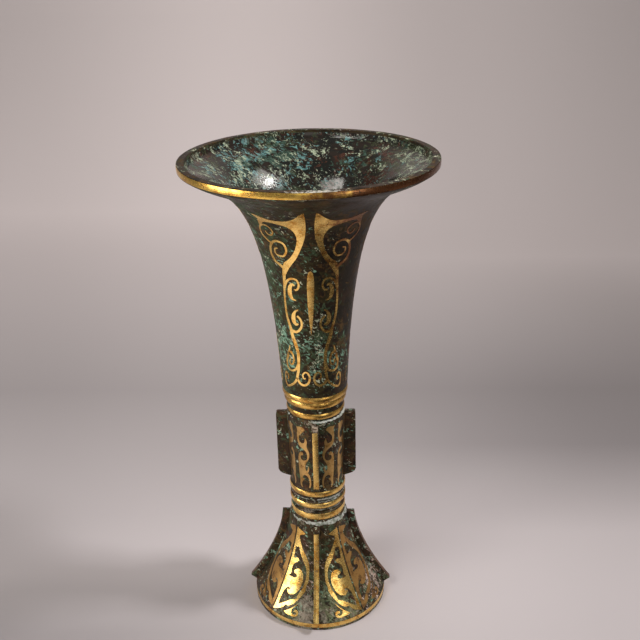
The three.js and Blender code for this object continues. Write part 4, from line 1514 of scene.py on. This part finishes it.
@dataclass(frozen=True)
class Studio:
    """The pale floor and its backdrop, with light and shade painted on them, the lamps and the camera.

    Attributes:
        floor: The floor's colour where it is palest.
        palest: The tone at which it is so.
        left_painted_light: Its painted light and shade at the left, a painted falloff of the light with
            painted shadow: metres behind the vase, and how pale it is painted there.
        right_painted_light: Its painted light and shade at the right.
        near: Where the tones start, in metres.
        deep: How far they reach.
        sides: From where to where the painted light and shade go from the left one to the right one.
        front_start: From where to where, ahead of the vase, the painted pool of light and the painted shade
            begin.
        front_end: From where to where they end.
        front_sides: From how far to how near the axis they begin.
        shade: How dark the painted shade is.
        centre_painted_light: How pale the picture's middle is painted.
        painted_edge_fall: How much darker its left and right edges are painted.
        front_edge: Where the floor starts.
        bend_start: Where it starts to bend up.
        bend_radius: Radius of the bend.
        bend_steps: How many stretches the bend has.
        top: Height of the backdrop.
        half_width: Half of its width.
        camera_side: Degrees that the camera and the lamps stand round to the right.
        camera_turn: The camera's pan, pitch and roll, in degrees, before that.
        camera_stand: Its place, in metres, before that.
        lens: Its focal length, in millimetres.
        world: The room's colour.
        world_strength: How much light the room gives.
        lamps: The lamps.
    """

    floor: Colour = (0.95, 0.85, 0.83)
    palest: float = 1.7
    left_painted_light: tuple[Pair, ...] = (
        (-0.05, 0.60), (0.01, 0.89), (0.28, 0.69), (0.50, 0.98), (0.84, 1.36), (1.33, 1.03),
    )
    right_painted_light: tuple[Pair, ...] = (
        (-0.05, 1.02), (0.06, 1.03), (0.18, 0.57), (0.28, 0.53), (0.65, 1.07), (1.33, 0.77),
    )
    near: float = -0.1
    deep: float = 1.5
    sides: Pair = (-0.22, 0.24)
    front_start: Pair = (0.055, 0.12)
    front_end: Pair = (0.75, 0.35)
    front_sides: Pair = (0.70, 0.35)
    shade: float = 0.88
    centre_painted_light: float = 1.03
    painted_edge_fall: float = 0.11
    front_edge: float = -4.0
    bend_start: float = 0.7
    bend_radius: float = 0.9
    bend_steps: int = 24
    top: float = 3.0
    half_width: float = 5.0
    camera_side: float = 3.0
    camera_turn: Triple = (0.4905, 24.166, 1.428)
    camera_stand: Triple = (0.0, -0.48499, 0.41791)
    lens: float = 49.84
    world: Colour = (1.0, 0.96, 0.95)
    world_strength: float = 0.2
    lamps: tuple[Lamp, ...] = (
        Lamp("key", 86, 49, 1.15, (0.15, 0.15), 0.9, (1.0, 1.0, 1.04), spread=60),
        Lamp("soft_left", -50, 46, 1.2, (0.64, 0.34), 5.5),
        Lamp("low_left", -70, 9, 0.85, (0.5, 0.42), 3.4),
        Lamp("low_right", 32, 9, 0.9, (0.35, 0.25), 0.7),
        Lamp("front", -2, 20, 0.9, (0.22, 0.6), 0.3),
        Lamp("back_right", 104, 50, 1.15, (0.4, 0.4), 2.3),
        Lamp("backdrop_lamp", 0, 25, 0.9, (1.4, 0.5), 11.0, (1.0, 0.97, 0.95), target=(0.0, 1.5, 0.9)),
    )

    def backdrop(self) -> None:
        """A pale sweep with painted light and shade: a wide floor that curves up behind the vase."""
        start, radius = self.bend_start, self.bend_radius
        angles = [i / self.bend_steps * math.pi / 2 for i in range(1, self.bend_steps + 1)]
        line = [(self.front_edge, 0.0), (start, 0.0)]
        line += [(start + radius * math.sin(t), radius - radius * math.cos(t)) for t in angles]
        line += [(start + radius, self.top)]
        sweep = start_point("sweep", (-self.half_width / MM, 0))
        bpy.ops.transform.translate(value=(0, line[0][0], line[0][1]))
        for (y0, z0), (y1, z1) in zip(line, line[1:]):
            extrude(0, y1 - y0, z1 - z0)
        bpy.ops.mesh.select_all(action="SELECT")
        extrude(2 * self.half_width, 0, 0)
        close()
        soften(sweep)
        bench = Bench("paper_painted_light")
        # The floor's colour carries painted light and shade.
        tone = self.tone(bench) * (1 / self.palest)
        bench.set(Base_Color=bench.blend((0.0, 0.0, 0.0), self.floor, tone), Roughness=0.75)
        bench.shader.inputs["Specular IOR Level"].default_value = 0.2
        sweep.data.materials.append(bench.material)
        sweep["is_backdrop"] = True

    def tone(self, bench: Bench) -> Wire:
        """How pale the floor is painted: a painted falloff of the light with painted shadow, a painted pool
        of light to the vase's front left, painted shade to its front right, and painted darkening towards the
        picture's left and right edges.
        """
        x, y = bench.along(Axis.X), bench.along(Axis.Y)
        depth = (y - self.near) * (1 / self.deep)
        # Painted falloff of the light, with painted shadow, as a line of paleness for each side.
        left, right = (
            bench.graph(depth, [((behind - self.near) / self.deep, pale) for behind, pale in line])
            for line in (self.left_painted_light, self.right_painted_light)
        )
        side = x.rise(*self.sides)
        tone = right * side + left * (1.0 - side)
        ahead = 0.0 - y
        front = ahead.rise(*self.front_start) * ahead.rise(*self.front_end)
        front = front * x.apart(0.0).rise(*self.front_sides)
        # Painted light: a pale pool on the floor ahead of the vase and to its left, which the gold reflects.
        painted_glow = front * (0.0 - x).rise(0.02, 0.10)
        # Painted shade: a dark patch on the floor ahead of the vase and to its right, which the gold
        # reflects.
        shade = front * (x - y * 0.1).rise(0.0, 0.06)
        # Painted darkening towards the picture's left and right edges.
        half_picture = y * 0.28 + 0.195
        edge = (x.apart(0.0) / half_picture).rise(0.4, 1.1)
        return (tone + painted_glow) * (1.0 - shade * self.shade) * (self.centre_painted_light - edge * self.painted_edge_fall)

    def light(self) -> None:
        """Hangs the lamps and sets the world."""
        for lamp in self.lamps:
            lamp.light(self.camera_side)
        world = bpy.data.worlds.new("room")
        world.use_nodes = True
        background = world.node_tree.nodes["Background"]
        background.inputs[0].default_value = (*self.world, 1.0)
        background.inputs[1].default_value = self.world_strength
        bpy.context.scene.world = world
        bpy.context.scene.view_settings.view_transform = "Standard"

    def camera(self) -> None:
        """The camera, as fitted to the photograph."""
        pan, pitch, roll = (math.radians(angle) for angle in self.camera_turn)
        ahead = Vector((math.sin(pan) * math.cos(pitch), math.cos(pan) * math.cos(pitch), -math.sin(pitch)))
        level = Vector((math.cos(pan), -math.sin(pan), 0))
        down = ahead.cross(level)
        right = level * math.cos(roll) + down * math.sin(roll)
        low = down * math.cos(roll) - level * math.sin(roll)
        data = bpy.data.cameras.new("camera")
        data.lens = self.lens
        data.sensor_width = 36.0
        data.clip_start = 0.05
        data.clip_end = 30.0
        camera = placed("camera", data)
        turn = Matrix((right, -low, -ahead)).transposed().to_4x4()
        round_vase = Matrix.Rotation(math.radians(self.camera_side), 4, "Z")
        camera.matrix_world = round_vase @ Matrix.Translation(self.camera_stand) @ turn
        bpy.context.scene.camera = camera


def corners() -> list[list[float]]:
    """The shown object's lowest and highest corner."""
    return [list(corner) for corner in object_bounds()]


def main() -> None:
    """Builds the vase and its studio."""
    logging.basicConfig(level=logging.INFO, format="%(name)s: %(message)s")
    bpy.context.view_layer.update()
    studio = Studio()
    studio.camera()
    neck_bronze = Patina(
        "neck_bronze", umber=(0.024, 0.014, 0.009), growths=NECK_SKIN, shine=0.22,
        ledges=(Zone(Axis.Z, 141.0, 1.0, 0.5),),
    ).made()
    mouth_bronze = Patina(
        "mouth_bronze", (0.008, 0.009, 0.007), (0.020, 0.013, 0.009), MOUTH_SKIN, roughness=0.12, shine=0.60,
        tint=(1.0, 0.95, 0.88), depth=0.03,
    ).made()
    edge_bronze = Patina("edge_bronze", growths=EDGE_SKIN, roughness=0.5, shine=0.2).made()
    middle_bronze = Patina(
        "middle_bronze", growths=MIDDLE_SKIN,
        ledges=(Zone(Axis.Z, 139.8, 1.3, 0.74), Zone(Axis.Z, 82.8, 1.3, 0.76)),
    ).made()
    foot_bronze = Patina(
        "foot_bronze", growths=FOOT_SKIN,
        ledges=(Zone(Axis.Z, 64.9, 2.6, 0.78), Zone(Axis.Z, 74.2, 1.2, 0.72), Zone(Axis.Z, 80.6, 0.8, 0.5)),
    ).made()
    band_gold = Gilding("band_gold", 0.35, (0.74, 0.46, 0.12), (0.42, 0.19, 0.03)).made()
    # The lip's gold and the neck scrolls' gold get painted shade on their right.
    lip_gold = Gilding("lip_gold", 0.35, (0.92, 0.60, 0.13), painted_shade_zones=(Zone(Axis.X, 70, 92, 1.1),)).made()
    neck_gold = Gilding("neck_gold", 0.2, painted_shade_zones=(Zone(Axis.X, 28, 30, 0.62),)).made()
    middle_gold = Gilding("middle_gold", 0.3, (0.62, 0.39, 0.14), (0.38, 0.19, 0.05), roughness=0.34).made()
    foot_gold = Gilding("foot_gold", 0.25).made()
    strip_gold = Gilding("strip_gold", 0.5).made()
    worn_gold = Gilding(
        "worn_gold", 0.5, (0.44, 0.24, 0.07), (0.22, 0.11, 0.035), roughness=0.42, metal=0.8
    ).made()
    # Painted shade: darkened gold for the side flanges' strips, which are seen edge on and look dark, with
    # heavier wear.
    side_shade_gold = Gilding(
        "side_shade_gold", 0.8, (0.16, 0.075, 0.04), (0.07, 0.04, 0.024), roughness=0.48, metal=0.5
    ).made()
    neck, middle, foot = Neck(), MiddleSection(), Foot()
    neck.casting(neck_bronze, mouth_bronze, edge_bronze)
    neck.bands(band_gold, lip_gold)
    neck.scrolls(neck_gold, worn_gold)
    middle.casting(middle_bronze)
    middle.gold(strip_gold, side_shade_gold)
    middle.scrolls(middle_gold)
    foot.casting(foot_bronze)
    foot.gold(strip_gold, side_shade_gold)
    foot.scrolls(foot_gold, worn_gold)
    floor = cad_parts["floor_disc"]
    floor.data.materials.clear()
    floor.data.materials.append(neck_bronze)
    studio.backdrop()
    studio.light()


if __name__ == "__main__":
    main()
